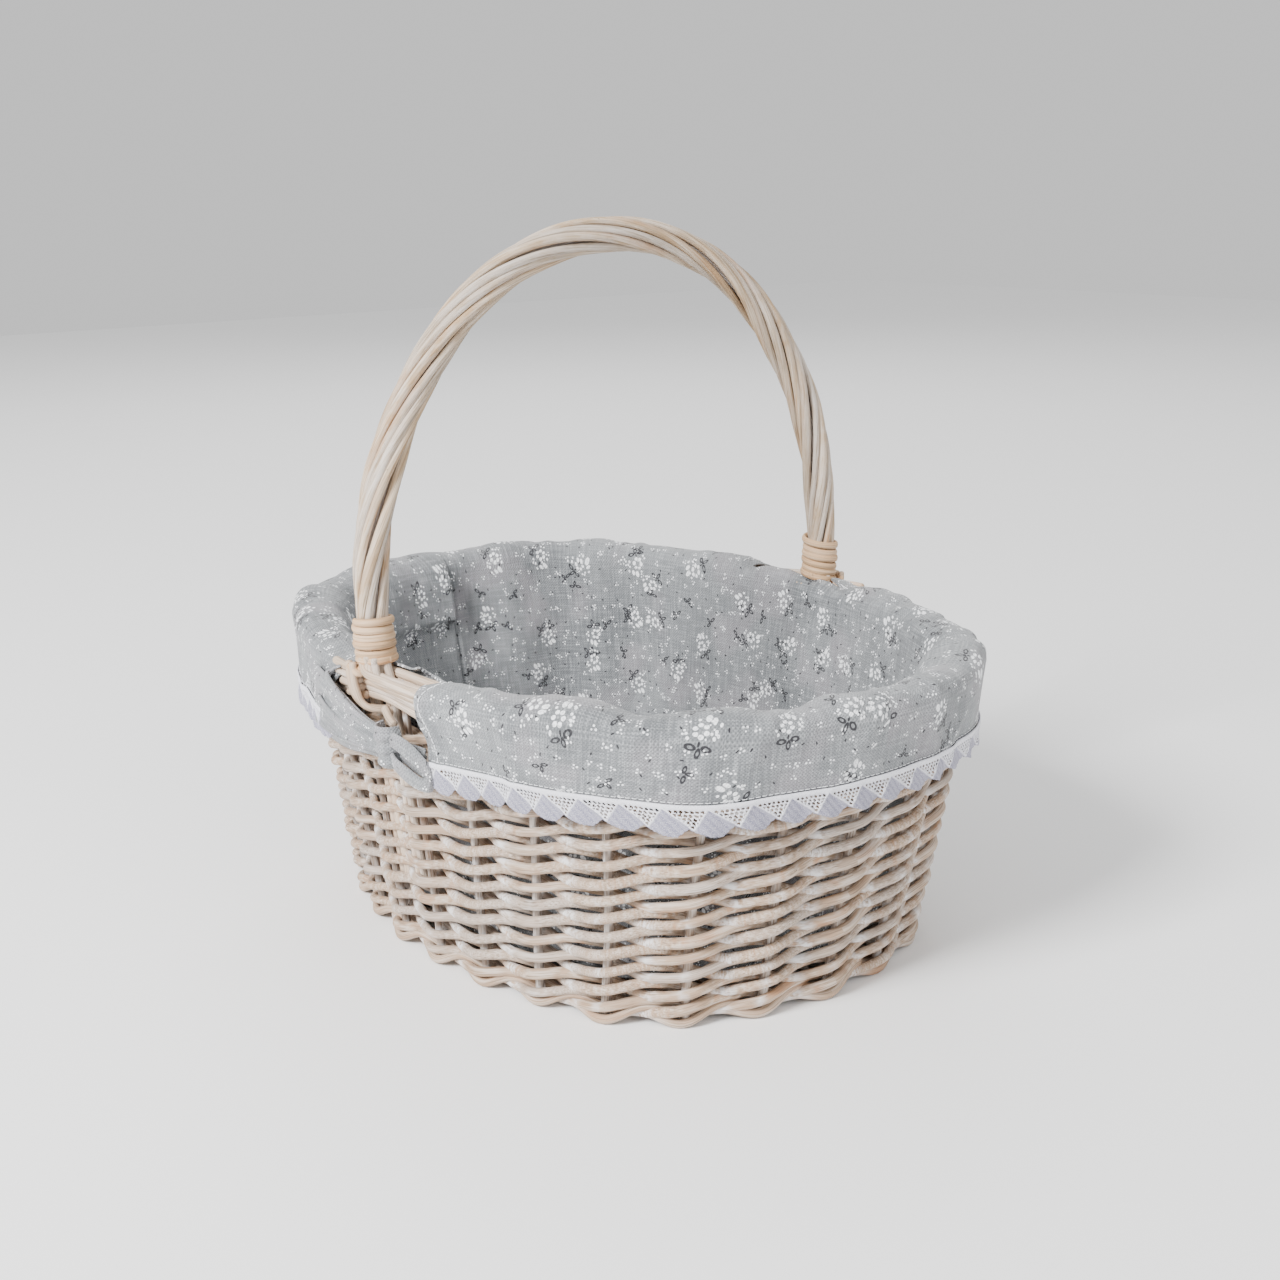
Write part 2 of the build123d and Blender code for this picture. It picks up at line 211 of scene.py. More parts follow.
def smooth_path(points, count):
    """Catmull-Rom curve through the points."""
    p = np.asarray(points, float)
    p = np.concatenate([[2 * p[0] - p[1]], p, [2 * p[-1] - p[-2]]])
    spans = len(p) - 3
    t = np.linspace(0, spans, count)
    i = np.minimum(t.astype(int), spans - 1)
    f = (t - i)[:, None]
    a, b, c, d = p[i], p[i + 1], p[i + 2], p[i + 3]
    return 0.5 * (2 * b + (c - a) * f + (2 * a - 5 * b + 4 * c - d) * f ** 2
                  + (3 * b - a - 3 * c + d) * f ** 3)


# ---- mesh building ----
DOME_REACH = np.array([0.25, 0.42, 0.5])    # rings that close a rod's end, in radii past it
DOME_SIZE = np.array([0.9, 0.6, 0.02])      # and their radii, as shares of the rod's


def repeat_ends(values):
    """First and last row repeated, for the rings that close a rod's ends."""
    rings = len(DOME_REACH)
    return np.concatenate([values[:1]] * rings + [values] + [values[-1:]] * rings)


class Builder:
    """Collects grids of points with UVs in millimetres and two shading attributes."""

    def __init__(self):
        self.points, self.faces, self.uvs = [], [], []
        self.paint, self.tone = [], []
        self.count = 0

    def grid(self, points, u, v, around=False, along=False, paint=0.0, tone=0.5, keep=None):
        """points is (rows, columns, 3); around closes the columns and along closes the rows."""
        rows, columns = points.shape[:2]
        index = self.count + np.arange(rows * columns).reshape(rows, columns)
        r = np.arange(rows if along else rows - 1)
        c = np.arange(columns if around else columns - 1)
        r, c = [m.ravel() for m in np.meshgrid(r, c, indexing="ij")]
        if keep is not None:
            chosen = keep[r, c]
            r, c = r[chosen], c[chosen]
        r2, c2 = (r + 1) % rows, (c + 1) % columns
        self.faces.append(np.stack([index[r, c], index[r, c2], index[r2, c2], index[r2, c]], 1))
        u_step = np.concatenate([u, [u[-1] + (u[-1] - u[-2])]])
        v_step = np.concatenate([v, [v[-1] + (v[-1] - v[-2])]])
        pick = lambda rr, cc: np.stack([u_step[cc], v_step[rr]], -1)
        self.uvs.append(np.stack([pick(r, c), pick(r, c + 1),
                                  pick(r + 1, c + 1), pick(r + 1, c)], 1))
        self.points.append(points.reshape(-1, 3))
        for store, value in ((self.paint, paint), (self.tone, tone)):
            store.append(np.broadcast_to(value, (rows, columns)).ravel().astype(np.float32))
        self.count += rows * columns

    def tube(self, line, radius, sides=12, ref=(0, 0, 1), closed=False, paint=0.0, tone=0.5,
             flat=1.0):
        """Round rod along a line; flat under 1 thins it along ref. Open ends are domed."""
        line = np.asarray(line, float)
        radius = np.broadcast_to(np.asarray(radius, float), len(line))
        paint = np.broadcast_to(np.asarray(paint, float), len(line))
        ref = np.broadcast_to(np.asarray(ref, float), line.shape)
        if closed:
            tangent = np.roll(line, -1, 0) - np.roll(line, 1, 0)
        else:
            tangent = np.gradient(line, axis=0)
        tangent /= np.linalg.norm(tangent, axis=1, keepdims=True)
        if not closed:
            first = line[0] - tangent[0] * radius[0] * DOME_REACH[::-1, None]
            last = line[-1] + tangent[-1] * radius[-1] * DOME_REACH[:, None]
            line = np.concatenate([first, line, last])
            radius = np.concatenate([radius[0] * DOME_SIZE[::-1], radius, radius[-1] * DOME_SIZE])
            paint, tangent, ref = [repeat_ends(values) for values in (paint, tangent, ref)]
        normal = ref - (ref * tangent).sum(1, keepdims=True) * tangent
        normal /= np.linalg.norm(normal, axis=1, keepdims=True)
        binormal = np.cross(tangent, normal)
        turn = np.linspace(0, TURN, sides, endpoint=False)
        ring = flat * np.cos(turn)[None, :, None] * normal[:, None]
        ring = ring + np.sin(turn)[None, :, None] * binormal[:, None]
        points = line[:, None] + ring * radius[:, None, None]
        steps = np.linalg.norm(np.diff(line, axis=0), axis=1)
        v = np.concatenate([[0], np.cumsum(steps)])
        u = np.arange(sides) * TURN * radius.mean() / sides
        self.grid(points, u, v, around=True, along=closed, paint=paint[:, None], tone=tone)

    def piece(self, name, material, replaces=()):
        mesh = bpy.data.meshes.new(name)
        points = np.concatenate(self.points) * MM
        faces = np.concatenate(self.faces)
        mesh.vertices.add(len(points))
        mesh.vertices.foreach_set("co", points.ravel())
        mesh.loops.add(faces.size)
        mesh.loops.foreach_set("vertex_index", faces.ravel())
        mesh.polygons.add(len(faces))
        mesh.polygons.foreach_set("loop_start", np.arange(0, faces.size, 4))
        mesh.uv_layers.new(name="cloth")
        mesh.uv_layers[0].data.foreach_set("uv", np.concatenate(self.uvs).ravel())
        for key, store in (("paint", self.paint), ("tone", self.tone)):
            layer = mesh.attributes.new(key, "FLOAT", "POINT")
            layer.data.foreach_set("value", np.concatenate(store))
        mesh.update()
        mesh.validate()
        mesh.polygons.foreach_set("use_smooth", np.full(len(mesh.polygons), True))
        obj = bpy.data.objects.new(name, mesh)
        bpy.context.scene.collection.objects.link(obj)
        mesh.materials.append(material)
        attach(obj, "root")
        if replaces:
            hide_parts(*replaces)
        return obj


# ---- materials ----
class Nodes:
    """Short calls for building a material's node tree."""

    def __init__(self, name):
        self.material = bpy.data.materials.new(name)
        self.material.use_nodes = True
        self.tree = self.material.node_tree
        self.shader = self.tree.nodes["Principled BSDF"]
        self.material.diffuse_color = (0.6, 0.55, 0.5, 1)

    def new(self, kind, **inputs):
        node = self.tree.nodes.new(kind)
        for key, value in inputs.items():
            self.put(node.inputs[key.replace("_", " ")], value)
        return node

    def put(self, socket, value):
        if isinstance(value, bpy.types.NodeSocket):
            self.tree.links.new(value, socket)
        else:
            socket.default_value = value

    def math(self, operation, a, b=0.0, clamp=False):
        node = self.tree.nodes.new("ShaderNodeMath")
        node.operation, node.use_clamp = operation, clamp
        self.put(node.inputs[0], a)
        self.put(node.inputs[1], b)
        return node.outputs[0]

    def times(self, a, b, clamp=False):
        return self.math("MULTIPLY", a, b, clamp)

    def plus(self, a, b):
        return self.math("ADD", a, b)

    def minus(self, a, b):
        return self.math("SUBTRACT", a, b)

    def vector(self, operation, a, b=(0, 0, 0), scale=None):
        node = self.tree.nodes.new("ShaderNodeVectorMath")
        node.operation = operation
        self.put(node.inputs[0], a)
        self.put(node.inputs[1], b)
        if scale is not None:
            self.put(node.inputs["Scale"], scale)
        return node.outputs["Value" if operation in ("LENGTH", "DISTANCE", "DOT_PRODUCT") else 0]

    def combine(self, x, y, z=0.0):
        return self.new("ShaderNodeCombineXYZ", X=x, Y=y, Z=z).outputs[0]

    def split(self, vector):
        return self.new("ShaderNodeSeparateXYZ", Vector=vector).outputs

    def attribute(self, name):
        node = self.tree.nodes.new("ShaderNodeAttribute")
        node.attribute_name = name
        return node.outputs["Fac"]

    def uv(self):
        node = self.tree.nodes.new("ShaderNodeUVMap")
        node.uv_map = "cloth"
        return node.outputs[0]

    def noise(self, vector, scale, detail=2.0, rough=0.5):
        return self.new("ShaderNodeTexNoise", Vector=vector, Scale=scale, Detail=detail,
                        Roughness=rough).outputs["Fac"]

    def ramp(self, value, low, high, a=0.0, b=1.0):
        node = self.tree.nodes.new("ShaderNodeMapRange")
        node.interpolation_type = "SMOOTHSTEP"
        for key, item in (("Value", value), ("From Min", low), ("From Max", high),
                          ("To Min", a), ("To Max", b)):
            self.put(node.inputs[key], item)
        return node.outputs[0]

    def mix(self, factor, a, b):
        node = self.tree.nodes.new("ShaderNodeMix")
        node.data_type = "RGBA"
        node.inputs["Factor"].default_value = 0.0
        self.put(node.inputs[0], factor)
        self.put(node.inputs[6], a if isinstance(a, bpy.types.NodeSocket) else (*a, 1))
        self.put(node.inputs[7], b if isinstance(b, bpy.types.NodeSocket) else (*b, 1))
        return node.outputs[2]

    def bump(self, height, distance, strength=1.0, normal=None):
        node = self.new("ShaderNodeBump", Height=height, Distance=distance, Strength=strength)
        if normal is not None:
            self.put(node.inputs["Normal"], normal)
        return node.outputs[0]

    def finish(self, colour, roughness, normal):
        self.put(self.shader.inputs["Base Color"], colour)
        self.put(self.shader.inputs["Roughness"], roughness)
        self.put(self.shader.inputs["Normal"], normal)
        return self.material


def willow(name, warm, pale, wash, white):
    """Peeled willow under a thin whitewash: streaks along the rod, paint left in the joints."""
    n = Nodes(name)
    across, along, _ = n.split(n.uv())
    tone, paint = n.attribute("tone"), n.attribute("paint")
    seed = n.times(tone, 91.7)

    def stretched(across_scale, along_scale, detail=2.0):
        place = n.combine(n.times(across, across_scale),
                          n.times(along, along_scale), seed)
        return n.noise(place, 1.0, detail, 0.6)

    grain, patch = stretched(2.4, 0.035, 3.0), stretched(0.30, 0.03)
    drift, blot, fleck = stretched(0.1, 0.012), stretched(0.35, 0.10), stretched(0.8, 0.28)
    colour = n.mix(n.ramp(patch, 0.36, 0.64), warm, pale)
    warm_spot = tuple(c * k for c, k in zip(warm, (1.05, 0.80, 0.58)))
    colour = n.mix(n.ramp(drift, 0.52, 0.72, 0.0, 0.8), colour, warm_spot)
    grey = tuple(0.42 * sum(pale) / 3 + 0.5 * c for c in pale)
    colour = n.mix(n.ramp(tone, 0.25, 1.0, 0.0, 0.75), colour, grey)
    dark = tuple(c * 0.40 for c in warm)
    colour = n.mix(n.ramp(grain, 0.52, 0.30, 0.0, 0.85), colour, dark)
    lime = n.ramp(n.plus(grain, n.times(patch, 0.6)), 0.80, 1.0, 0.0, wash)
    colour = n.mix(lime, colour, (0.74, 0.71, 0.68))
    daub = n.times(paint, n.ramp(blot, 0.34, 0.62, 0.0, white), clamp=True)
    colour = n.mix(daub, colour, (0.84, 0.85, 0.87))
    colour = n.mix(n.ramp(fleck, 0.72, 0.78, 0.0, 0.75), colour, tuple(c * 0.22 for c in warm))
    height = n.plus(grain, n.times(patch, 0.3))
    rough = n.ramp(grain, 0.3, 0.7, 0.55, 0.75)
    return n.finish(colour, rough, n.bump(height, 0.0006, 0.6))


CLOTH_THREAD, LACE_THREAD = 0.80, 0.42      # from one thread to the next


def weave_height(n, across, along, pitch):
    """Plain-weave threads: high where a thread lies on top."""
    wobble = n.noise(n.combine(across, along), 0.35, 2.0)
    thick = n.times(n.minus(wobble, 0.5), 1.5)
    u = n.times(n.plus(across, thick), math.pi / pitch)
    v = n.times(n.plus(along, thick), math.pi / pitch)
    return n.times(n.math("SINE", u), n.math("SINE", v))


def print_layers(n, uv, sprigs):
    """Masks of the print: white flowers and dots, and dark leaves and specks."""
    white, dark = [], []

    def cells(size, seed_shift, scatter):
        node = n.new("ShaderNodeTexVoronoi", Vector=n.vector("ADD", uv, seed_shift),
                     Scale=1.0 / size, Randomness=scatter)
        node.voronoi_dimensions = "2D"
        place = node.outputs["Position"]
        away = n.vector("SUBTRACT", n.vector("ADD", uv, seed_shift), place)
        colour = n.new("ShaderNodeSeparateColor", Color=node.outputs["Color"]).outputs
        turn = n.new("ShaderNodeVectorRotate", Vector=away,
                     Angle=n.times(colour[0], TURN))
        turn.rotation_type = "Z_AXIS"
        return turn.outputs[0], colour

    def blob(local, x, y, radius, stretch=1.0):
        shifted = n.vector("SUBTRACT", local, (x, y, 0))
        if stretch != 1.0:
            shifted = n.vector("MULTIPLY", shifted, (stretch, 1.0 / stretch, 1))
        return n.ramp(n.vector("LENGTH", shifted), radius * 1.08, radius * 0.82)

    def outline(local, x, y, radius, stretch):
        shifted = n.vector("MULTIPLY", n.vector("SUBTRACT", local, (x, y, 0)),
                           (stretch, 1.0 / stretch, 1))
        edge = n.math("ABSOLUTE", n.minus(n.vector("LENGTH", shifted), radius))
        return n.ramp(edge, 0.62, 0.40)

    def any_of(masks):
        total = masks[0]
        for mask in masks[1:]:
            total = n.math("MAXIMUM", total, mask)
        return total

    sprig, _ = cells(37.0, (3.0, 11.0, 0.0), 0.78)
    # a flower of petals, with buds round it
    blossom = []
    for k in range(6):
        angle = TURN * k / 6 + 0.3
        blossom.append(blob(sprig, 2.7 * math.cos(angle), 2.7 * math.sin(angle), 1.15, 0.9))
    for x, y, radius, stretch in ((6.2, 2.2, 0.75, 1), (7.6, 1.1, 0.7, 1), (6.6, -0.4, 0.75, 1),
                                  (5.0, -5.2, 1.5, 1.3), (2.2, -6.6, 1.8, 1.25),
                                  (8.0, -3.4, 0.9, 1.2), (-1.6, -5.4, 0.8, 1),
                                  (-4.9, 3.8, 0.8, 1), (-6.0, 1.9, 0.7, 1)):
        blossom.append(blob(sprig, x, y, radius, stretch))
    white.append(n.times(any_of(blossom), sprigs))
    leaves = []
    for x, y, radius, stretch in ((-2.9, 6.6, 1.35, 0.68), (0.9, 8.6, 1.3, 1.45),
                                  (3.9, 6.0, 1.25, 0.72)):
        leaves.append(outline(sprig, x, y, radius, stretch))
    leaves.append(blob(sprig, 0.4, 5.0, 0.75, 1.3))
    dark.append(n.times(any_of(leaves), sprigs))
    # small leaf groups on their own
    local, colour = cells(31.0, (61.0, 23.0, 0.0), 0.9)
    shown = n.math("LESS_THAN", colour[1], 0.8)
    pair = any_of([outline(local, -2.6, 0.4, 1.15, 0.68), outline(local, 0.7, 2.1, 1.0, 1.4),
                   outline(local, 2.6, -0.5, 1.05, 0.7)])
    dark.append(n.times(pair, n.times(shown, sprigs)))
    # groups of three white dots
    for size, shift, share in ((9.0, (40.0, 7.0, 0.0), 0.55), (11.5, (5.0, 77.0, 0.0), 0.6)):
        local, colour = cells(size, shift, 0.9)
        shown = n.math("LESS_THAN", colour[1], share)
        dots = any_of([blob(local, -0.9, 0.0, 0.62), blob(local, 0.95, 0.35, 0.55),
                       blob(local, 0.4, -1.5, 0.42)])
        white.append(n.times(dots, shown))
    # dark specks
    local, colour = cells(10.5, (19.0, 31.0, 0.0), 0.95)
    shown = n.math("LESS_THAN", colour[1], 0.7)
    dark.append(n.times(blob(local, 0, 0, 0.72, 1.5), shown))
    return any_of(white), any_of(dark)


def cloth(name, sprigs=1.0):
    """Grey linen-cotton plain weave with slubs, and the small white and dark print."""
    n = Nodes(name)
    uv = n.uv()
    across, along, _ = n.split(uv)
    threads = weave_height(n, across, along, CLOTH_THREAD)
    slub = n.noise(n.combine(n.times(across, 0.05), along), 1.4, 2.0)
    slub_across = n.noise(n.combine(across, n.times(along, 0.05), 7.0), 1.4, 2.0)
    cloud = n.noise(n.combine(across, along, 3.0), 0.018, 2.0)
    tint = n.noise(n.combine(across, along, 19.0), 0.03, 1.0)
    colour = n.mix(n.ramp(cloud, 0.3, 0.7), (0.135, 0.143, 0.152), (0.225, 0.235, 0.245))
    colour = n.mix(n.ramp(tint, 0.50, 0.68, 0.0, 0.45), colour, (0.335, 0.30, 0.325))
    light = n.plus(n.times(slub, 0.5), n.times(slub_across, 0.5))
    colour = n.mix(n.ramp(light, 0.42, 0.66, 0.0, 0.50), colour, (0.50, 0.515, 0.53))
    # painted shade: the cloth is darker where the weave is low, between the threads
    colour = n.mix(n.ramp(threads, 0.1, -0.8, 0.0, 0.65), colour, (0.11, 0.12, 0.125))
    white, dark = print_layers(n, n.vector("MULTIPLY", uv, (1.2, 1.2, 1.0)), sprigs)
    worn = n.ramp(n.noise(n.combine(across, along, 5.0), 1.3, 2.0), 0.3, 0.5, 0.55, 1.0)
    colour = n.mix(dark, colour, (0.018, 0.018, 0.022))
    colour = n.mix(n.times(white, worn), colour, (0.95, 0.96, 0.98))
    height = n.plus(n.times(threads, 0.6), n.times(light, 1.2))
    n.shader.inputs["Sheen Weight"].default_value = 0.25
    n.shader.inputs["Sheen Roughness"].default_value = 0.5
    return n.finish(colour, 0.92, n.bump(height, 0.0005, 0.6))


def lace_material():
    """Cotton lace: bright cords on the band, and a denser lilac-grey ground below them, partly the
    lace's own tint and partly painted shade.
    """
    n = Nodes("cotton_lace")
    across, along, _ = n.split(n.uv())
    dense_and_shade = n.attribute("paint")
    threads = weave_height(n, across, along, LACE_THREAD)
    fine = n.noise(n.combine(across, along), 2.2, 2.0)
    # the dense ground is dark lilac-grey: partly the lace's own tint, partly painted shade on
    # white lace
    colour = n.mix(dense_and_shade, (0.84, 0.84, 0.90), (0.22, 0.21, 0.30))
    pale = n.times(dense_and_shade, n.ramp(fine, 0.52, 0.62, 0.0, 0.70))
    colour = n.mix(pale, colour, (0.72, 0.71, 0.78))
    colour = n.mix(n.ramp(fine, 0.45, 0.32, 0.0, 0.5), colour, (0.30, 0.30, 0.37))
    height = n.plus(n.times(threads, 0.6), fine)
    n.shader.inputs["Sheen Weight"].default_value = 0.2
    return n.finish(colour, 0.88, n.bump(height, 0.0003, 0.6))


def thread_material():
    n = Nodes("white_thread")
    across, along, _ = n.split(n.uv())
    twist = n.math("SINE", n.plus(n.times(across, 5.0),
                                  n.times(along, 6.0)))
    fuzz = n.noise(n.combine(across, along), 3.0, 2.0)
    colour = n.mix(n.ramp(fuzz, 0.35, 0.7), (0.72, 0.73, 0.75), (0.90, 0.91, 0.93))
    return n.finish(colour, 0.85, n.bump(twist, 0.0001, 0.5))


WEAVER = willow("willow_weaver", (0.42, 0.285, 0.19), (0.53, 0.405, 0.305),
                wash=0.35, white=0.72)
# the stake willow is darker than the weavers' partly as its own tone and partly as painted shade
# for the gaps between rows, where the stakes show
STAKE = willow("willow_stake", (0.29, 0.205, 0.15), (0.40, 0.32, 0.26), wash=0.5, white=1.0)
HANDLE = willow("willow_handle", (0.45, 0.30, 0.165), (0.58, 0.44, 0.30), wash=0.3, white=0.2)
BORDER = willow("willow_border", (0.56, 0.40, 0.27), (0.68, 0.53, 0.40), wash=0.3, white=0.3)
CANE = willow("cane_binding", (0.60, 0.38, 0.205), (0.70, 0.485, 0.30), wash=0.12, white=0.1)
CLOTH = cloth("lining_print")
BOW_CLOTH = cloth("bow_print", sprigs=0.0)
LACE = lace_material()
THREAD = thread_material()

rng = np.random.default_rng(20)


# ---- wicker ----
ROW_DRIFT = Ripple(3, (2, 3, 5))    # slow rise and fall of every row


def kinked(phase, sharp=0.12):
    """A cosine drawn out towards straight runs between the stakes."""
    return (np.cos(phase) + sharp * np.cos(3 * phase)) / (1 + sharp)


def per_stake(count, station, spread):
    """Random value at each stake, joined smoothly round the basket."""
    values = rng.uniform(-spread, spread, count)
    place = (station * count) % count
    low = np.floor(place).astype(int) % count
    share = smooth_step(place - np.floor(place), 0, 1)
    return values[low] * (1 - share) + values[(low + 1) % count] * share


def woven_rod(builder, z, parity, radius):
    """One rod of a row: in front of every second stake, and behind the ones between."""
    station = stations(STAKES * 20)
    phase = stake_phase(station, parity)
    phase = phase + per_stake(STAKES, station, 0.16)
    offset = WEAVER_OFFSET * kinked(phase) + per_stake(STAKES, station, 0.6)
    # it climbs and drops evenly, with a short turn at each end
    slope = np.arcsin(0.94 * np.sin(phase)) / math.asin(0.94)
    height = WEAVER_LIFT * slope + per_stake(STAKES, station, 0.6)
    height = height + 0.7 * ROW_DRIFT(station)
    size = radius * (1 + per_stake(STAKES // 2, station, 0.13) + 0.03 * np.sin(9 * phase))
    # whitewash collects where a rod comes out from behind the one before it
    emerging = np.clip(-np.sin(phase + 0.05), 0, 1) ** 16
    touching = np.clip(np.cos(2 * phase + 0.3), 0, 1) ** 24
    paint = np.clip(emerging * (1.1 + per_stake(STAKES, station, 0.6))
                    + touching * (0.1 + per_stake(STAKES, station, 0.9)), 0, 1)
    line = wall_point(station, z + height, offset)
    tone = np.clip(0.5 + per_stake(STAKES // 2, station, 0.5), 0, 1)
    builder.tube(line, size, closed=True, paint=paint, tone=tone[:, None])


def weave_rows():
    for index in range(ROWS):
        node = f"weave_row_{index + 1:02d}"
        builder = Builder()
        for parity in (0, 1):
            woven_rod(builder, middle_z(node), parity, rng.uniform(*WEAVER_RADII))
        builder.piece(node + "_twined", WEAVER, (node,))


def side_stakes():
    builder = Builder()
    top = box_mm("side_stakes")[1][2]
    for index in range(STAKES):
        z = np.linspace(1.6, top - 1, 60)
        station = stake_station(index) + rng.uniform(-0.0007, 0.0007)
        bend = 0.0009 * np.sin(z / rng.uniform(22, 35) + rng.uniform(0, TURN))
        radius = np.linspace(*STAKE_RADII, 60) * rng.uniform(0.92, 1.08)
        paint = np.clip(np.sin(z / ROW_PITCH * TURN + 2.0), 0, 1) ** 1.5
        line = wall_point(station + bend, z, 0.9)
        builder.tube(line, radius, ref=(1, 0.3, 0), paint=paint, tone=rng.random())
    builder.piece("side_stakes_willow", STAKE, ("side_stakes",))


def border_rods():
    for index in range(BORDER_RODS):
        node = f"border_rods_{index + 1}"
        builder = Builder()
        station = stations(360)
        for side in (1, -1):
            lift = per_stake(13, station, 0.7)
            # the rods are drawn up together where the hook holds them
            lift = lift + BORDER_PULL[index] * bell(foot_distance(station) - 12, 26)
            offset = side * WEAVER_OFFSET + per_stake(17, station, 0.35)
            size = BORDER_RADIUS * (1 + per_stake(9, station, 0.10))
            line = wall_point(station, middle_z(node) + lift, offset)
            builder.tube(line, size, closed=True, paint=0.25, tone=rng.random())
        builder.piece(node + "_willow", BORDER, (node,))


def foot_wale():
    """Bottom rods that cross between the stake butts and dip to the floor below each one."""
    builder = Builder()
    station = stations(STAKES * 14)
    for parity in (0, 1):
        phase = stake_phase(station, parity)
        offset = 4.7 * kinked(phase) + per_stake(STAKES, station, 0.5)
        height = 4.9 - 2.4 * np.cos(2 * phase) + 1.9 * np.sin(phase)
        height = height + per_stake(STAKES, station, 0.5)
        radius = FOOT_RADIUS * (1 + per_stake(STAKES // 2, station, 0.10))
        height = np.maximum(height, radius + 0.02)
        paint = 0.9 * np.clip(-np.sin(phase), 0, 1) ** 5
        line = wall_point(station, height, offset)
        builder.tube(line, radius, closed=True, paint=paint, tone=rng.random())
    builder.piece("foot_wale_twined", WEAVER, ("foot_wale",))


def base_sticks():
    """Long sticks that fan out at both ends, threaded through the cross sticks."""
    builder = Builder()
    z = middle_z("base_long_sticks")
    reach = box_mm("base_long_sticks")[1][0]
    for index in range(5):
        fan = index - 2
        x = np.linspace(-reach, reach, 61)
        spread = smooth_step(np.abs(x), 60, reach) * fan * 26
        keep = np.abs(x) < reach - 2.2 * fan * fan
        line = np.stack([x, fan * 6.0 + spread, np.full_like(x, z)], 1)[keep]
        builder.tube(line, 1.9, sides=10, tone=rng.random(), paint=0.2)
    builder.piece("base_long_sticks_fanned", STAKE, ("base_long_sticks",))
    builder = Builder()
    z = middle_z("base_cross_sticks")
    edge_x, edge_y = oval_point(wall_shape(8.0, -8.0), np.linspace(0.001, math.pi / 2, 400))
    for index in range(9):
        x = -120 + 30.0 * index
        half = np.interp(abs(x), edge_x[::-1], edge_y[::-1])
        y = np.linspace(-half, half, 40)
        line = np.stack([np.full_like(y, x), y, np.full_like(y, z)], 1)
        size = 3.4 - 0.9 * (np.abs(y) / half) ** 3
        builder.tube(line, size, tone=rng.random(), paint=0.2)
    builder.piece("base_cross_sticks_shaped", STAKE, ("base_cross_sticks",))


def base_weave():
    """Pairing round the base sticks, seen from below, and its straight middle."""
    middle = middle_z("base_cross_sticks")
    for node, parity in (("base_weave_under", 0), ("base_weave_over", 1)):
        high = box_mm(node)[1]
        rise = middle_z(node) - middle
        builder = Builder()
        for row in range(9):
            half_length = high[0] - BASE_PAIR - ROW_PITCH * row
            half_width = high[1] - BASE_PAIR - ROW_PITCH * row
            waves = max(8, 2 * round((half_length + half_width) / 19))
            angle = stations(waves * 12) * TURN
            phase = waves / 2 * angle + math.pi * (row + parity)
            out = 2.2 * kinked(phase - math.pi / 2)
            x, y = oval_point((half_length + out, half_width + out, 0.64 * half_width), angle)
            height = np.maximum(middle + rise * kinked(phase), BASE_LOWEST)
            line = np.stack([x, y, height], 1)
            builder.tube(line, BASE_RADIUS, sides=10, closed=True, paint=0.3, tone=rng.random())
        for row in range(6):
            y = ROW_PITCH * (row - 2.5) + (BASE_PAIR if parity else -BASE_PAIR)
            x = np.linspace(-56, 56, 80)
            phase = math.pi * (x / 30 + parity + row)
            height = np.maximum(middle + rise * kinked(phase), BASE_LOWEST)
            line = np.stack([x, np.full_like(x, y), height], 1)
            builder.tube(line, BASE_RADIUS - 0.05, sides=10, paint=0.3, tone=rng.random())
        builder.piece(node + "_twined", WEAVER, (node,))


# ---- handle ----
def handle_line(count=700):
    """Centre line from the front foot over to the back one, with its outward normal."""
    drop = HANDLE_APEX - HANDLE_WIDEST - CROWN_RADIUS
    span = HANDLE_HALF_SPAN
    leg = (drop ** 2 + span ** 2 - CROWN_RADIUS ** 2) / (2 * (span - CROWN_RADIUS))
    meet = math.pi / 2 - math.atan2(leg - span, drop)
    lean = math.atan(HALF_RISE[1])
    lower = (HANDLE_WIDEST - WALL_TOP) / math.sin(lean)
    arcs = [((span - lower, HANDLE_WIDEST), lower, -lean, 0.0),
            ((span - leg, HANDLE_WIDEST), leg, 0.0, meet),
            ((0.0, HANDLE_WIDEST + drop), CROWN_RADIUS, meet, math.pi / 2)]
    points, normals = [], []
    for (cy, cz), radius, start, finish in arcs:
        turn = np.linspace(start, finish, 200)
        out = np.stack([0 * turn, np.cos(turn), np.sin(turn)], 1)
        points.append(np.array([0.0, cy, cz]) + radius * out)
        normals.append(out)
    half, half_normal = np.concatenate(points), np.concatenate(normals)
    mirror = np.array([1, -1, 1])
    line = np.concatenate([half * mirror, half[::-1]])
    normal = np.concatenate([half_normal * mirror, half_normal[::-1]])
    step = np.linalg.norm(np.diff(line, axis=0), axis=1)
    length = np.concatenate([[0], np.cumsum(step)])
    at = np.linspace(0, length[-1], count)
    line = np.stack([np.interp(at, length, line[:, k]) for k in range(3)], 1)
    normal = np.stack([np.interp(at, length, normal[:, k]) for k in range(3)], 1)
    normal /= np.linalg.norm(normal, axis=1, keepdims=True)
    return line, normal, at


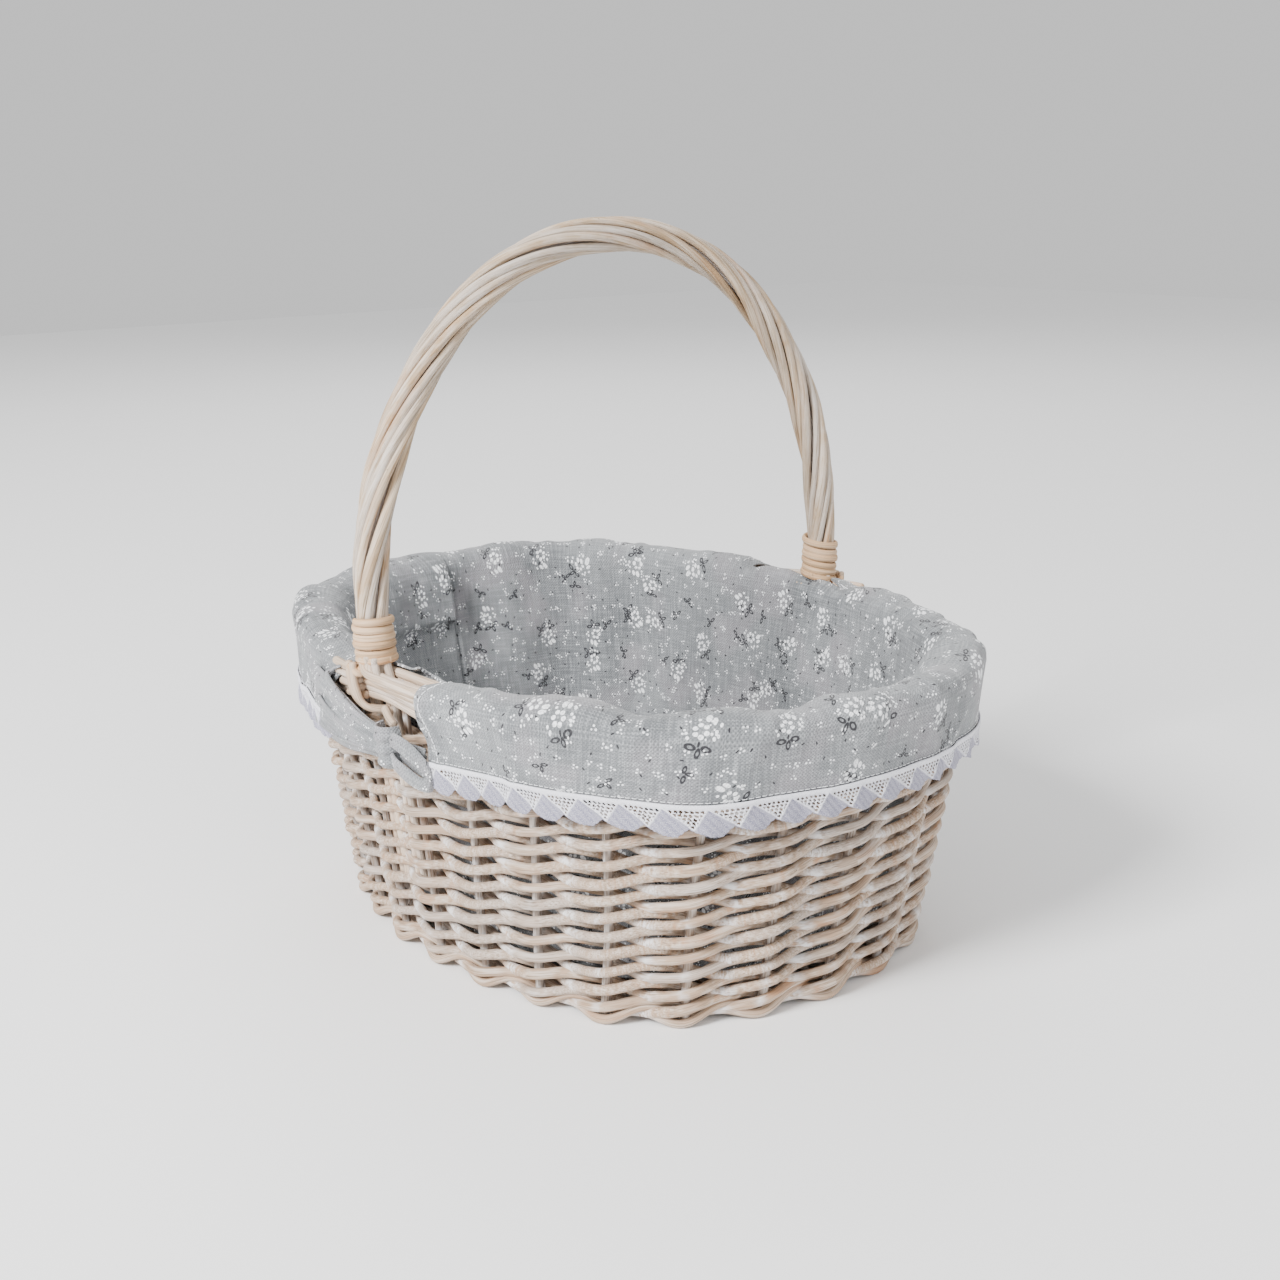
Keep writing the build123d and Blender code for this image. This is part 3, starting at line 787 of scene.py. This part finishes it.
def roped_handle():
    line, normal, at = handle_line()
    total = at[-1]
    side = np.array([1.0, 0, 0])
    twist = TURN * at / ROPE_LAY + 0.25 * np.sin(at / total * TURN * 1.3)
    # the rods are drawn together under the bindings
    near_foot = np.minimum(at, total - at)
    squeeze = 1 - 0.13 * (1 - smooth_step(near_foot, 24, 60))
    for index in range(STRANDS):
        start = TURN * index / STRANDS
        wave = 0.11 * np.sin(at / rng.uniform(30, 60) + rng.uniform(0, TURN))
        beta = start + twist + wave + rng.uniform(-0.09, 0.09)
        swell = 1 + 0.05 * np.sin(at / rng.uniform(25, 45) + rng.uniform(0, TURN))
        away = STRAND_CIRCLE * squeeze * swell
        radial = np.cos(beta)[:, None] * normal + np.sin(beta)[:, None] * side
        points = line + away[:, None] * radial
        taper = np.linspace(1.16, 0.80, len(at))
        if index % 2:
            taper = taper[::-1]
        radius = STRAND_RADIUS * taper * (0.6 + 0.4 * squeeze) * rng.uniform(0.90, 1.06)
        builder = Builder()
        paint = 0.5 + 0.5 * np.sin(at / 37 + index)
        builder.tube(points, radius, ref=radial, tone=rng.random(), paint=paint)
        node = f"handle_strand_{index + 1}"
        builder.piece(node + "_roped", HANDLE, (node,))
    builder = Builder()
    builder.tube(line, 4.3, sides=14, ref=normal, tone=0.9)
    builder.piece("handle_core_rod", STAKE, ("handle_core",))


def handle_foot(sign, side_name):
    """Cane lashing, the double hook under the border, and the rod ends in the wall."""
    way = -sign                                 # direction of +station along X
    at_wall = beside_leg(sign)
    line, normal, at = handle_line()
    if sign > 0:
        line, normal = line[::-1], normal[::-1]
    t = np.linspace(0, 1, int(BINDING_TURNS * 40))
    along = BINDING_START + BINDING_TURNS * BINDING_PITCH * (1 - t)
    centre = np.stack([np.interp(along, at, line[:, k]) for k in range(3)], 1)
    outward = np.stack([np.interp(along, at, normal[:, k]) for k in range(3)], 1)
    side = np.array([way * 1.0, 0, 0])
    angle = TURN * BINDING_TURNS * t
    radial = np.cos(angle)[:, None] * outward + np.sin(angle)[:, None] * side
    wrap = centre + (BINDING_CIRCLE + 0.3 * np.sin(angle * 0.37 + 1.0))[:, None] * radial
    # the turns slope, lower on the side where the hook leaves them
    wrap[:, 2] += 0.9 * np.sin(angle) + 0.35 * np.sin(angle * 0.43)
    builder = Builder()
    builder.tube(wrap, CANE_RADIUS, ref=radial, tone=0.3, flat=CANE_FLAT, paint=0.1)
    # the last turn runs down to the border in front of the leg
    last = smooth_path([wrap[-30], wrap[-18], wrap[-1] + (0, 0, -1.5),
                        at_wall(-5.5, 12.2, 153.5), at_wall(-6.0, 11.0, 149.0)], 30)
    builder.tube(last, CANE_RADIUS - 0.1, ref=(1, 0, 0.2), tone=0.35, paint=0.1)
    builder.piece(f"handle_binding_{side_name}_cane", CANE,
                  (f"handle_binding_{side_name}",))
    builder = Builder()
    for step in (0.0, HOOK_GAP):
        hook = [at_wall(-6.0 + step, 12.0, 155.0), at_wall(-5.8 + step, 12.9, 148.0),
                at_wall(-5.0 + step, 13.0, 142.5), at_wall(-2.8 + step, 12.6, 137.6 - 0.3 * step),
                at_wall(1.8 + step, 10.4, 134.0), at_wall(5.5 + step, 3.5, 132.8),
                at_wall(6.0 + step, -3.5, 132.6), at_wall(4.5 + step, -8.6, 134.5),
                at_wall(3.0 + step, -9.8, 141.0), at_wall(1.0 + step, -9.4, 150.5)]
        builder.tube(smooth_path(hook, 80), HOOK_RADIUS, ref=(1, 0.1, 0.1),
                     tone=rng.random(), paint=0.15)
    builder.piece(f"binding_loops_{side_name}_cane", CANE,
                  (f"binding_loops_{side_name}",))
    builder = Builder()
    low, high = box_mm(f"handle_tails_{side_name}")
    for x in (-11.0, -6.0, 6.0, 11.0):
        z = np.linspace(low[2], high[2] + 3, 40)
        y = sign * (wall_shape(z)[1] + 0.2 * np.sin(z / 9))
        pull = smooth_step(z, 142, 158)
        builder.tube(np.stack([x * (1 - 0.35 * pull), y, z], 1), 2.2, ref=(1, 0, 0),
                     tone=rng.random(), paint=0.3)
    # handle rods laid into the border on one side, and the cut ends of rods on both
    for x, out, top, end in ((1.5, 8.6, 158.0, 20.0), (4.5, 7.6, 159.0, 26.0),
                             (7.0, 5.6, 158.0, 31.0)):
        rod = [at_wall(x - 0.5, out, top), at_wall(x, out + 0.3, 154.5),
               at_wall(x + 5, out + 1.6, 152.2 - 0.5 * x),
               at_wall(end, out + 0.8, 151.4 - 0.5 * x),
               at_wall(end + 22, out - 1.2, 149.0 - 0.5 * x)]
        builder.tube(smooth_path(rod, 50), 1.9, ref=(0, 0.2, 1),
                     tone=rng.random(), paint=0.2)
    for stub in (((-4, 8.8, 149.8), (-16, 9.8, 150.6), (-24, 10.2, 151.0)),
                 ((-4, 9.0, 146.0), (-15, 9.9, 146.4), (-23, 10.3, 146.6)),
                 ((-4, 8.6, 142.2), (-13, 9.8, 142.0), (-20, 10.2, 141.8)),
                 ((-2, 8.0, 138.6), (-9, 9.2, 138.0), (-15, 9.8, 137.4)),
                 ((12, 7.2, 135.0), (18, 9.4, 132.0), (22, 10.4, 130.5))):
        builder.tube(smooth_path([at_wall(*p) for p in stub], 24), 2.05, ref=(0, 0.2, 1),
                     tone=rng.random(), paint=0.1)
    builder.piece(f"handle_tails_{side_name}_willow", BORDER,
                  (f"handle_tails_{side_name}",))


# ---- cloth ----
FLOOR_Z = box_mm("lining_floor")[0][2]
INNER_OFFSET = -12.0
OUTER_OFFSET = 10.6
ROLL_BASE = 145.0
ROLL_HEIGHT = 9.4
HEM_LENGTH = 27.0                  # skirt below the roll
LACE_DEPTH = 15.0
SLIT_NARROW, SLIT_WIDE = -26.0, 40.0   # skirt edges beside a handle leg, along the wall
WALL_CLOTH = ROLL_BASE - FLOOR_Z   # cloth length up the inside
ROLL_CLOTH = 30.0                  # cloth length over the roll
CUT_START = WALL_CLOTH + 0.34 * ROLL_CLOTH
HEM_TOTAL = WALL_CLOTH + ROLL_CLOTH + HEM_LENGTH
SEAM = 0.5                         # upright seam at the -X end; the other one is at +X
LEG_CALM = 60.0                    # the rim's waves die out this near a leg
SLIT_EASE = 45.0                   # and the slit pulls on the cloth this far from its edges
RIM_WAVE = Ripple(11, (3, 5, 9, 13, 19))
HEM_WAVE = Ripple(12, (4, 7, 9, 14, 18))
SLACK_WAVE = Ripple(13, (3, 5, 8, 11))


def foot_distance(station):
    """Distance along the wall from the nearer handle leg, in millimetres, signed."""
    return (np.asarray(station, float) % 0.5 - 0.25) * WALL_LENGTH


def make_creases(seed, count, low, high, width, depth):
    """Random soft creases: place, slant, middle length, half-length, width and depth."""
    source = random.Random(seed)
    creases = []
    for _ in range(count):
        crease = [source.uniform(0, WALL_LENGTH), source.uniform(-0.9, 0.9),
                  source.uniform(low, high), source.uniform(14, 38), source.uniform(*width)]
        creases.append((*crease, source.choice((-1, 1, 1)) * source.uniform(*depth)))
    return creases


WALL_CREASES = make_creases(5, 34, 10, WALL_CLOTH - 5, (5, 13), (0.6, 1.7))
ROLL_CREASES = make_creases(6, 84, WALL_CLOTH - 8, HEM_TOTAL, (2.2, 7.0), (0.5, 1.6))


def crease_height(station, length, creases):
    """Total height of the creases that pass near a point of the cloth."""
    distance = (station % 1.0) * WALL_LENGTH
    total = np.zeros(np.broadcast(station, length).shape)
    for place, slant, middle, reach, width, depth in creases:
        across = distance - place - slant * (length - middle)
        across = (across + WALL_LENGTH / 2) % WALL_LENGTH - WALL_LENGTH / 2
        total = total + depth * np.exp(-(across / width) ** 2 - ((length - middle) / reach) ** 2)
    return total


def slit_shift(distance, length):
    """How far the skirt's edge slides along the wall beside a leg, dying out away from it."""
    down = length - CUT_START
    narrow = 15.0 * smooth_step(down, 0, 5) - 25.0 * smooth_step(down, 9, 36)
    wide = 3.0 - 2.5 * smooth_step(down, 3, 14) + 9.0 * smooth_step(down, 16, 44)
    started = smooth_step(down, -2.0, 1.0)
    left = narrow * bell(distance - SLIT_NARROW, SLIT_EASE)
    right = wide * bell(distance - SLIT_WIDE, SLIT_EASE)
    return started * np.where(distance < 5, left, right)


def cloth_point(station, length, lift=0.0):
    """A point of the lining: length runs up the inside, over the border, down to the hem."""
    station, length = np.broadcast_arrays(np.asarray(station, float), np.asarray(length, float))
    station = station + slit_shift(foot_distance(station), length) / WALL_LENGTH
    up = np.clip(length / WALL_CLOTH, 0, 1)
    roll = np.clip((length - WALL_CLOTH) / ROLL_CLOTH, 0, 1)
    down = np.maximum(length - WALL_CLOTH - ROLL_CLOTH, 0)
    along = foot_distance(station)
    away = 1 - bell(along, LEG_CALM)
    rim = RIM_WAVE(station) * away
    turn = math.pi * (1 - roll)
    width = (OUTER_OFFSET - INNER_OFFSET) / 2
    middle = (OUTER_OFFSET + INNER_OFFSET) / 2
    swell = 1 + (0.15 + 0.38 * np.maximum(rim, -0.25)) * away
    lean = np.where(roll < 0.5, 1 + 0.26 * away * (0.4 + 1.3 * rim), 1)
    offset = middle + width * np.cos(turn) * lean
    # the slit's edges lie flat on the border rods
    press = bell(along - SLIT_NARROW, 8) + bell(along - SLIT_WIDE, 8)
    z = ROLL_BASE + (ROLL_HEIGHT * swell - 2.0 * press) * np.abs(np.sin(turn)) ** 0.7
    z = np.where(length < WALL_CLOTH, FLOOR_Z + (ROLL_BASE - FLOOR_Z) * up, z)
    slack = SLACK_WAVE(station + 0.03 * up)
    inside = (roll <= 0) * np.sin(math.pi * up) ** 0.7
    hollow = 1.8 * slack * inside
    # the slack of the roll hangs inward over the wall at the -X end, between seam and leg
    turned = (station - SEAM) % 1.0
    ledge = smooth_step(turned, -0.002, 0.004) * (1 - smooth_step(turned, 0.10, 0.20))
    ledge_end = smooth_step(length, WALL_CLOTH - 6, WALL_CLOTH + 0.4 * ROLL_CLOTH)
    ledge_fall = smooth_step(length, WALL_CLOTH - 30, WALL_CLOTH - 24) * (1 - ledge_end)
    # the same over a short way at the +X end
    turned_far = station % 1.0
    far = smooth_step(turned_far, 0.02, 0.06) * (1 - smooth_step(turned_far, 0.10, 0.15))
    hollow = hollow + 6.5 * ledge * ledge_fall + 4.0 * far * ledge_fall
    # seams: a narrow groove with the cloth plumped beside it
    for place in (SEAM, 0.0):
        apart = ((station - place + 0.5) % 1.0 - 0.5) * WALL_LENGTH
        groove = 1.6 * bell(apart, 6.0) - 3.0 * bell(apart, 1.6)
        hollow = hollow + groove * (roll <= 0) * smooth_step(up, 0.02, 0.2)
    hollow = hollow + crease_height(station, length, WALL_CREASES) * inside
    hollow = np.maximum(hollow, -3.2)
    offset = offset - hollow
    flare = down / HEM_LENGTH
    hem = HEM_WAVE(station)
    offset = offset + flare * (1.8 + 1.8 * hem * away)
    z = z - down * (0.985 + 0.010 * hem)
    ripple = crease_height(station, length, ROLL_CREASES) * smooth_step(roll, 0.05, 0.3)
    rise = lift + np.maximum(ripple, -0.5)
    offset = offset + rise * np.where(length < WALL_CLOTH, -1, np.cos(turn))
    z = z + rise * np.where((roll > 0) & (roll < 1), np.sin(turn), 0)
    return wall_point(station, z, offset)


def lining():
    columns, rows = 900, 110
    station = stations(columns)
    length = np.linspace(0, HEM_TOTAL, rows)
    # columns nearest the slit edges are moved on to them
    for edge in (SLIT_NARROW, SLIT_WIDE):
        for foot in (BACK_LEG, FRONT_LEG):
            nearest = np.argmin(np.abs(station - foot - edge / WALL_LENGTH))
            station[nearest] = foot + edge / WALL_LENGTH
    distance = foot_distance(station)
    points = cloth_point(station[None, :], length[:, None])
    slit = (distance > SLIT_NARROW + 0.01) & (distance < SLIT_WIDE - 0.01)
    opened = slit | np.roll(slit, -1)
    keep = ~(opened[None, :] & (length[:, None] >= CUT_START - 0.5))
    builder = Builder()
    builder.grid(points, station * WALL_LENGTH, length, around=True, keep=keep)
    obj = builder.piece("lining_cloth", CLOTH,
                        ("lining_side_front", "lining_side_back",
                         "lining_skirt_left", "lining_skirt_right"))
    thicken(obj, CLOTH_THICK)


def thicken(obj, thickness):
    solid = obj.modifiers.new("thickness", "SOLIDIFY")
    solid.thickness = thickness * MM
    solid.offset = 0.0


def lining_floor():
    builder = Builder()
    station = stations(300)
    share = np.linspace(0.02, 1.0, 40)
    edge = wall_point(station, FLOOR_Z + 0.5, INNER_OFFSET + 0.8)
    points = edge[None] * share[:, None, None]
    bumps = 1.0 * np.sin(points[..., 0] / 21 + 1 + 0.4 * np.sin(points[..., 1] / 30))
    bumps = bumps * np.sin(points[..., 1] / 17 + 0.5 * np.sin(points[..., 0] / 26))
    points[..., 2] = FLOOR_Z + 1.1 + bumps * (1 - share[:, None] ** 4)
    builder.grid(points, station * WALL_LENGTH, share * 150, around=True)
    obj = builder.piece("lining_floor_cloth", CLOTH, ("lining_floor",))
    # plan UVs, so that the print runs straight across the floor
    co = np.zeros(len(obj.data.vertices) * 3)
    obj.data.vertices.foreach_get("co", co)
    loops = np.zeros(len(obj.data.loops), int)
    obj.data.loops.foreach_get("vertex_index", loops)
    obj.data.uv_layers[0].data.foreach_set("uv", (co.reshape(-1, 3)[loops, :2] / MM).ravel())
    thicken(obj, CLOTH_THICK)


LACE_REPEAT = 17.0
LACE_SLANT = 0.42                  # the pattern leans this much for each millimetre down
LACE_FULLNESS = 1.07               # the lace follows the wider outside of the wall
LACE_CELL = 0.46                   # grid step, fine enough for the holes
LACE_HOLE = 0.74
LACE_HOLE_ROWS, LACE_HOLE_STEP = 5, 1.65


def lace(foot, name):
    """Lace along the hem of one skirt half, with real holes and a scalloped lower edge."""
    start = foot + SLIT_WIDE / WALL_LENGTH
    turns = 0.5 - (SLIT_WIDE - SLIT_NARROW) / WALL_LENGTH
    total = turns * WALL_LENGTH * LACE_FULLNESS
    columns = int(total / LACE_CELL)
    station = start + np.linspace(0, turns, columns)
    distance = np.linspace(0, total, columns)
    depth = np.linspace(0, 1, int(LACE_DEPTH / LACE_CELL) + 2)
    place = (distance / LACE_REPEAT) % 1.0
    lobe = np.where(place < 0.72, smooth_step(place, -0.2, 0.72),
                    1 - smooth_step(place, 0.72, 1.05))
    edge = 10.2 + 4.4 * lobe + 0.5 * np.abs(np.sin(math.pi * distance / 1.7))
    down = depth[:, None] * edge[None, :]
    slanted = distance[None] - LACE_SLANT * (down - 3.0)
    local = (slanted / LACE_REPEAT + 0.60) % 1.0 * LACE_REPEAT - LACE_REPEAT / 2
    side = 8.3 - 0.92 * (down - 1.9)        # half-width of the open triangle at this depth
    inside = side - np.abs(local)
    cord = bell(inside - 0.1, 0.5) * (down > 1.8)
    hole = np.zeros(down.shape, bool)
    for row in range(LACE_HOLE_ROWS):
        # each row of holes is half a step on from the one above
        x = (local - row % 2 + 1.0) % 2.0 - 1.0
        y = down - 2.9 - LACE_HOLE_STEP * row
        hole |= (np.hypot(x, y) < LACE_HOLE) & (inside > 0.60)
    # mask of the dense ground, which the lace material paints lilac-grey, partly as painted shade
    dense_and_shade = smooth_step(-inside, -0.2, 0.6) * smooth_step(down, 1.7, 2.3)
    dense_and_shade = np.maximum(dense_and_shade, smooth_step(down, 11.4, 12.0))
    dense_and_shade = np.clip(dense_and_shade - 0.5 * cord, 0, 1)
    # painted light and shade: the dense ground is painted lighter and darker along the diagonal
    # ridges, which also shape the relief
    ridges = np.sin(TURN * (distance[None] - 0.9 * down) / 3.4)
    dense_and_shade = dense_and_shade * (0.92 + 0.08 * ridges)
    relief = 0.40 * cord + 0.45 * bell(down - 1.2, 0.9)
    relief = relief - 0.15 * dense_and_shade * ridges
    flute = 1.1 * np.sin(TURN * (slanted / LACE_REPEAT + 0.15)) * smooth_step(down, 3, 13)
    points = cloth_point(station[None], HEM_TOTAL - 2.4 + down, lift=1.5 + relief + flute)
    builder = Builder()
    builder.grid(points, distance, depth * LACE_DEPTH, paint=dense_and_shade, keep=~hole)
    obj = builder.piece(f"lace_{name}_trim", LACE, (f"lace_{name}",))
    thicken(obj, LACE_THICK)


def patch(builder, top, low, folds, bulge, steps, back=0.0):
    """Cloth strip between two curves, with lengthwise folds and a rounded cross-section."""
    upper, lower = smooth_path(top, steps[0]), smooth_path(low, steps[0])
    share = np.linspace(0, 1, steps[1])
    points = upper[:, None] * (1 - share[None, :, None]) + lower[:, None] * share[None, :, None]
    along = np.gradient(points, axis=0)
    across = np.gradient(points, axis=1)
    normal = np.cross(along, across)
    normal /= np.linalg.norm(normal, axis=2, keepdims=True) + 1e-9
    outward = np.sign((normal * points * (1, 1, 0)).sum(2).mean())
    travel = np.linspace(0, 1, steps[0])[:, None]
    wave = np.zeros((steps[0], steps[1]))
    for count, phase, height in folds:
        drift = phase + 0.12 * travel * count
        wave = wave + height * np.sin(TURN * (count * share[None, :] + drift))
    rounded = bulge * np.sqrt(np.clip(1 - (2 * share - 1) ** 2, 0, 1))[None, :]
    points = points + normal * outward * (wave + rounded - back)[..., None]
    run = np.linalg.norm(np.diff(upper + lower, axis=0), axis=1) / 2
    v = np.concatenate([[0], np.cumsum(run)])
    width = np.linalg.norm(upper - lower, axis=1).mean()
    builder.grid(points, share * width + 300, v)


# Strips of each bow part: top edge, low edge, folds as (count, phase, height), bulge and grid.
# An edge point is x along the wall from the leg, out from the wall's middle, and z.
BOW_BANDS = (
    (((-44, 12.6, 144), (-27, 14.0, 142.5), (-8, 15.2, 137.5), (10, 16.0, 132.5), (23, 15.8, 130)),
     ((-68, 13.0, 102), (-44, 14.4, 104.5), (-18, 15.6, 107.5), (6, 16.2, 112), (23, 15.8, 114)),
     ((1.6, 0.1, 1.1), (3.3, 0.5, 0.7), (6.1, 0.2, 0.3)), 1.8, (90, 34)),
    (((28, 14.6, 127), (34, 14.4, 126.5), (40, 13.8, 126), (47, 13.2, 125.5)),
     ((28, 14.6, 118), (34, 14.4, 119), (40, 13.8, 120), (47, 13.2, 120.5)),
     ((1.5, 0.3, 0.4),), 0.8, (30, 14)),
    # the fold where the skirt's edge turns under and becomes the band
    (((-15, 12.6, 150), (-21, 13.6, 148), (-26, 14.2, 144.5), (-14, 16.0, 140.5),
      (4, 17.2, 134.5), (22, 17.0, 130)),
     ((-22, 12.6, 147), (-28, 13.8, 143), (-32, 14.8, 138.5), (-17, 16.6, 134.5),
      (3, 17.8, 129.0), (22, 17.0, 125)),
     ((1.0, 0.1, 0.45),), 1.0, (80, 12)),
    (((-47, 14.6, 128), (-30, 16.4, 126), (-8, 17.4, 123.5), (14, 17.2, 124)),
     ((-50, 14.6, 123), (-30, 16.6, 121.5), (-8, 17.6, 119.0), (14, 17.2, 119)),
     ((1.0, 0.4, 0.35),), 0.7, (60, 10)))
TIP_TOP, TIP_LOW = (51.5, 15.8, 117), (52.5, 15.8, 111)
BOW_LOOPS = (
    (((28, 16.4, 127.5), (35, 19.4, 131.5), (43, 18.6, 129), (50, 16.8, 122), TIP_TOP),
     ((28, 17.0, 121), (34, 20.8, 125), (42, 20.0, 121), (49, 17.8, 115), TIP_LOW),
     ((2.0, 0.35, 0.25),), 0.8, (60, 20)),
    (((28, 17.2, 122), (34, 19.8, 119.5), (42, 19.4, 116), (49, 17.8, 112.5), TIP_TOP),
     ((28, 16.6, 115), (34, 17.6, 109.5), (42, 17.0, 105.5), (50, 16.0, 105.5), TIP_LOW),
     ((1.5, 0.1, 0.3),), 1.6, (60, 20)),
    (((28, 15.8, 124), (36, 16.2, 125), (44, 15.6, 121.5), (51, 15.2, 116)),
     ((28, 15.4, 117), (36, 15.4, 114), (44, 15.2, 111), (51, 15.0, 109)),
     ((1.0, 0.1, 0.2),), 0.4, (50, 14), 0.6))
KNOT_TURN = np.linspace(-0.25 * TURN, 0.25 * TURN, 11)
BOW_KNOT = (
    (tuple((26.0 + 5.4 * math.sin(t), 14.0 + 7.6 * math.cos(t), 133.0) for t in KNOT_TURN),
     tuple((25.0 + 5.0 * math.sin(t), 14.0 + 7.0 * math.cos(t), 112.0) for t in KNOT_TURN),
     ((3.2, 0.3, 0.6),), 1.1, (40, 40)),)


def bow(sign, name):
    """Cloth ties beside the slit: gathered bands, a wrapped knot and leaf-shaped loops."""
    at = beside_leg(sign)

    def part(kind, strips, thickness):
        builder = Builder()
        for top, low, *rest in strips:
            patch(builder, [at(*p) for p in top], [at(*p) for p in low], *rest)
        node = f"bow_{kind}_{name}"
        obj = builder.piece(node + "_cloth", BOW_CLOTH, (node,))
        thicken(obj, thickness)
        return obj

    obj = part("bands", BOW_BANDS, CLOTH_THICK)
    obj = part("loops", BOW_LOOPS, LOOP_THICK)
    obj = part("knot", BOW_KNOT, CLOTH_THICK)


def stitches():
    """White thread: a running stitch beside each slit, and the machine line over the lace."""
    builder = Builder()

    def dash(station, length, station_to, length_to, radius):
        share = np.linspace(0, 1, 5)
        lift = 0.55 + 0.22 * np.sin(math.pi * share)
        points = [cloth_point(station + (station_to - station) * a,
                              length + (length_to - length) * a, b) for a, b in zip(share, lift)]
        builder.tube(np.array(points), radius, sides=6, ref=(0.3, 0.2, 0.9))

    for foot in (BACK_LEG, FRONT_LEG):
        for edge in (SLIT_NARROW - 6.0, SLIT_WIDE + 6.0):
            station = foot + edge / WALL_LENGTH
            length = CUT_START + 1.0
            while length < HEM_TOTAL - 3:
                dash(station, length, station, length + 2.2, 0.26)
                length += 2.9
    for foot in (BACK_LEG, FRONT_LEG):
        distance = SLIT_WIDE + 2
        while distance < WALL_LENGTH / 2 + SLIT_NARROW - 3:
            station = foot + distance / WALL_LENGTH
            dash(station, HEM_TOTAL - 3.0, station + 1.7 / WALL_LENGTH, HEM_TOTAL - 3.0, 0.2)
            distance += 2.6
    builder.piece("lining_stitches", THREAD)


# ---- studio ----
def studio():
    mesh = bpy.data.meshes.new("studio_floor")
    half = 4.0
    mesh.from_pydata([(-half, -half, 0), (half, -half, 0), (half, half, 0), (-half, half, 0)],
                     [], [(0, 1, 2, 3)])
    floor = bpy.data.objects.new("studio_floor", mesh)
    bpy.context.scene.collection.objects.link(floor)
    n = Nodes("studio_floor")
    geometry = n.tree.nodes.new("ShaderNodeTexCoord").outputs["Object"]
    colour = n.mix(n.noise(geometry, 3.0, 2.0), (0.93, 0.93, 0.93), (0.95, 0.95, 0.95))
    mesh.materials.append(n.finish(colour, 0.9, n.bump(n.noise(geometry, 40.0), 0.0002, 0.1)))
    world = bpy.data.worlds.new("studio")
    world.use_nodes = True
    background = world.node_tree.nodes["Background"]
    background.inputs[0].default_value = (1.0, 1.0, 1.0, 1)
    background.inputs[1].default_value = 0.80
    bpy.context.scene.world = world
    for name, place, power, size in (("key", (0.35, -2.2, 1.7), 160, 0.8),
                                     ("fill", (2.3, 0.2, 1.3), 20, 1.8),
                                     ("back", (-1.8, 1.2, 2.0), 26, 1.5)):
        data = bpy.data.lights.new(name, "AREA")
        data.energy, data.size = power, size
        light = bpy.data.objects.new(name, data)
        light.location = place
        aim = Vector((0, 0, 0.12)) - Vector(place)
        light.rotation_euler = aim.to_track_quat("-Z", "Y").to_euler()
        bpy.context.scene.collection.objects.link(light)


def camera():
    azimuth, elevation, roll = math.radians(54.4), math.radians(16.2), math.radians(-1.2)
    distance, focal = 0.90, 47.97
    aim_height = 0.1227
    back = Vector((math.sin(azimuth) * math.cos(elevation),
                   -math.cos(azimuth) * math.cos(elevation), math.sin(elevation)))
    data = bpy.data.cameras.new("camera")
    data.lens, data.sensor_width = focal, 36.0
    view = bpy.data.objects.new("camera", data)
    bpy.context.scene.collection.objects.link(view)
    right = Vector((math.cos(azimuth), math.sin(azimuth), 0))
    up = back.cross(right)
    spin = Matrix.Rotation(roll, 3, back)
    right, up = spin @ right, spin @ up
    place = Vector((0, 0, aim_height)) + back * distance
    # turned a little up and to the right, which sets the basket low and left of the middle
    aim = place - back * distance + right * 0.0111 + up * 0.0172
    direction = (place - aim).normalized()
    right = (right - right.dot(direction) * direction).normalized()
    up = direction.cross(right)
    facing = Matrix((right, up, direction)).transposed().to_4x4()
    view.matrix_world = Matrix.Translation(place) @ facing
    bpy.context.scene.camera = view


camera()
studio()
weave_rows()
side_stakes()
border_rods()
foot_wale()
base_sticks()
base_weave()
roped_handle()
handle_foot(-1, "front")
handle_foot(1, "back")
lining()
lining_floor()
lace(BACK_LEG, "left")
lace(FRONT_LEG, "right")
bow(-1, "front")
bow(1, "back")
stitches()
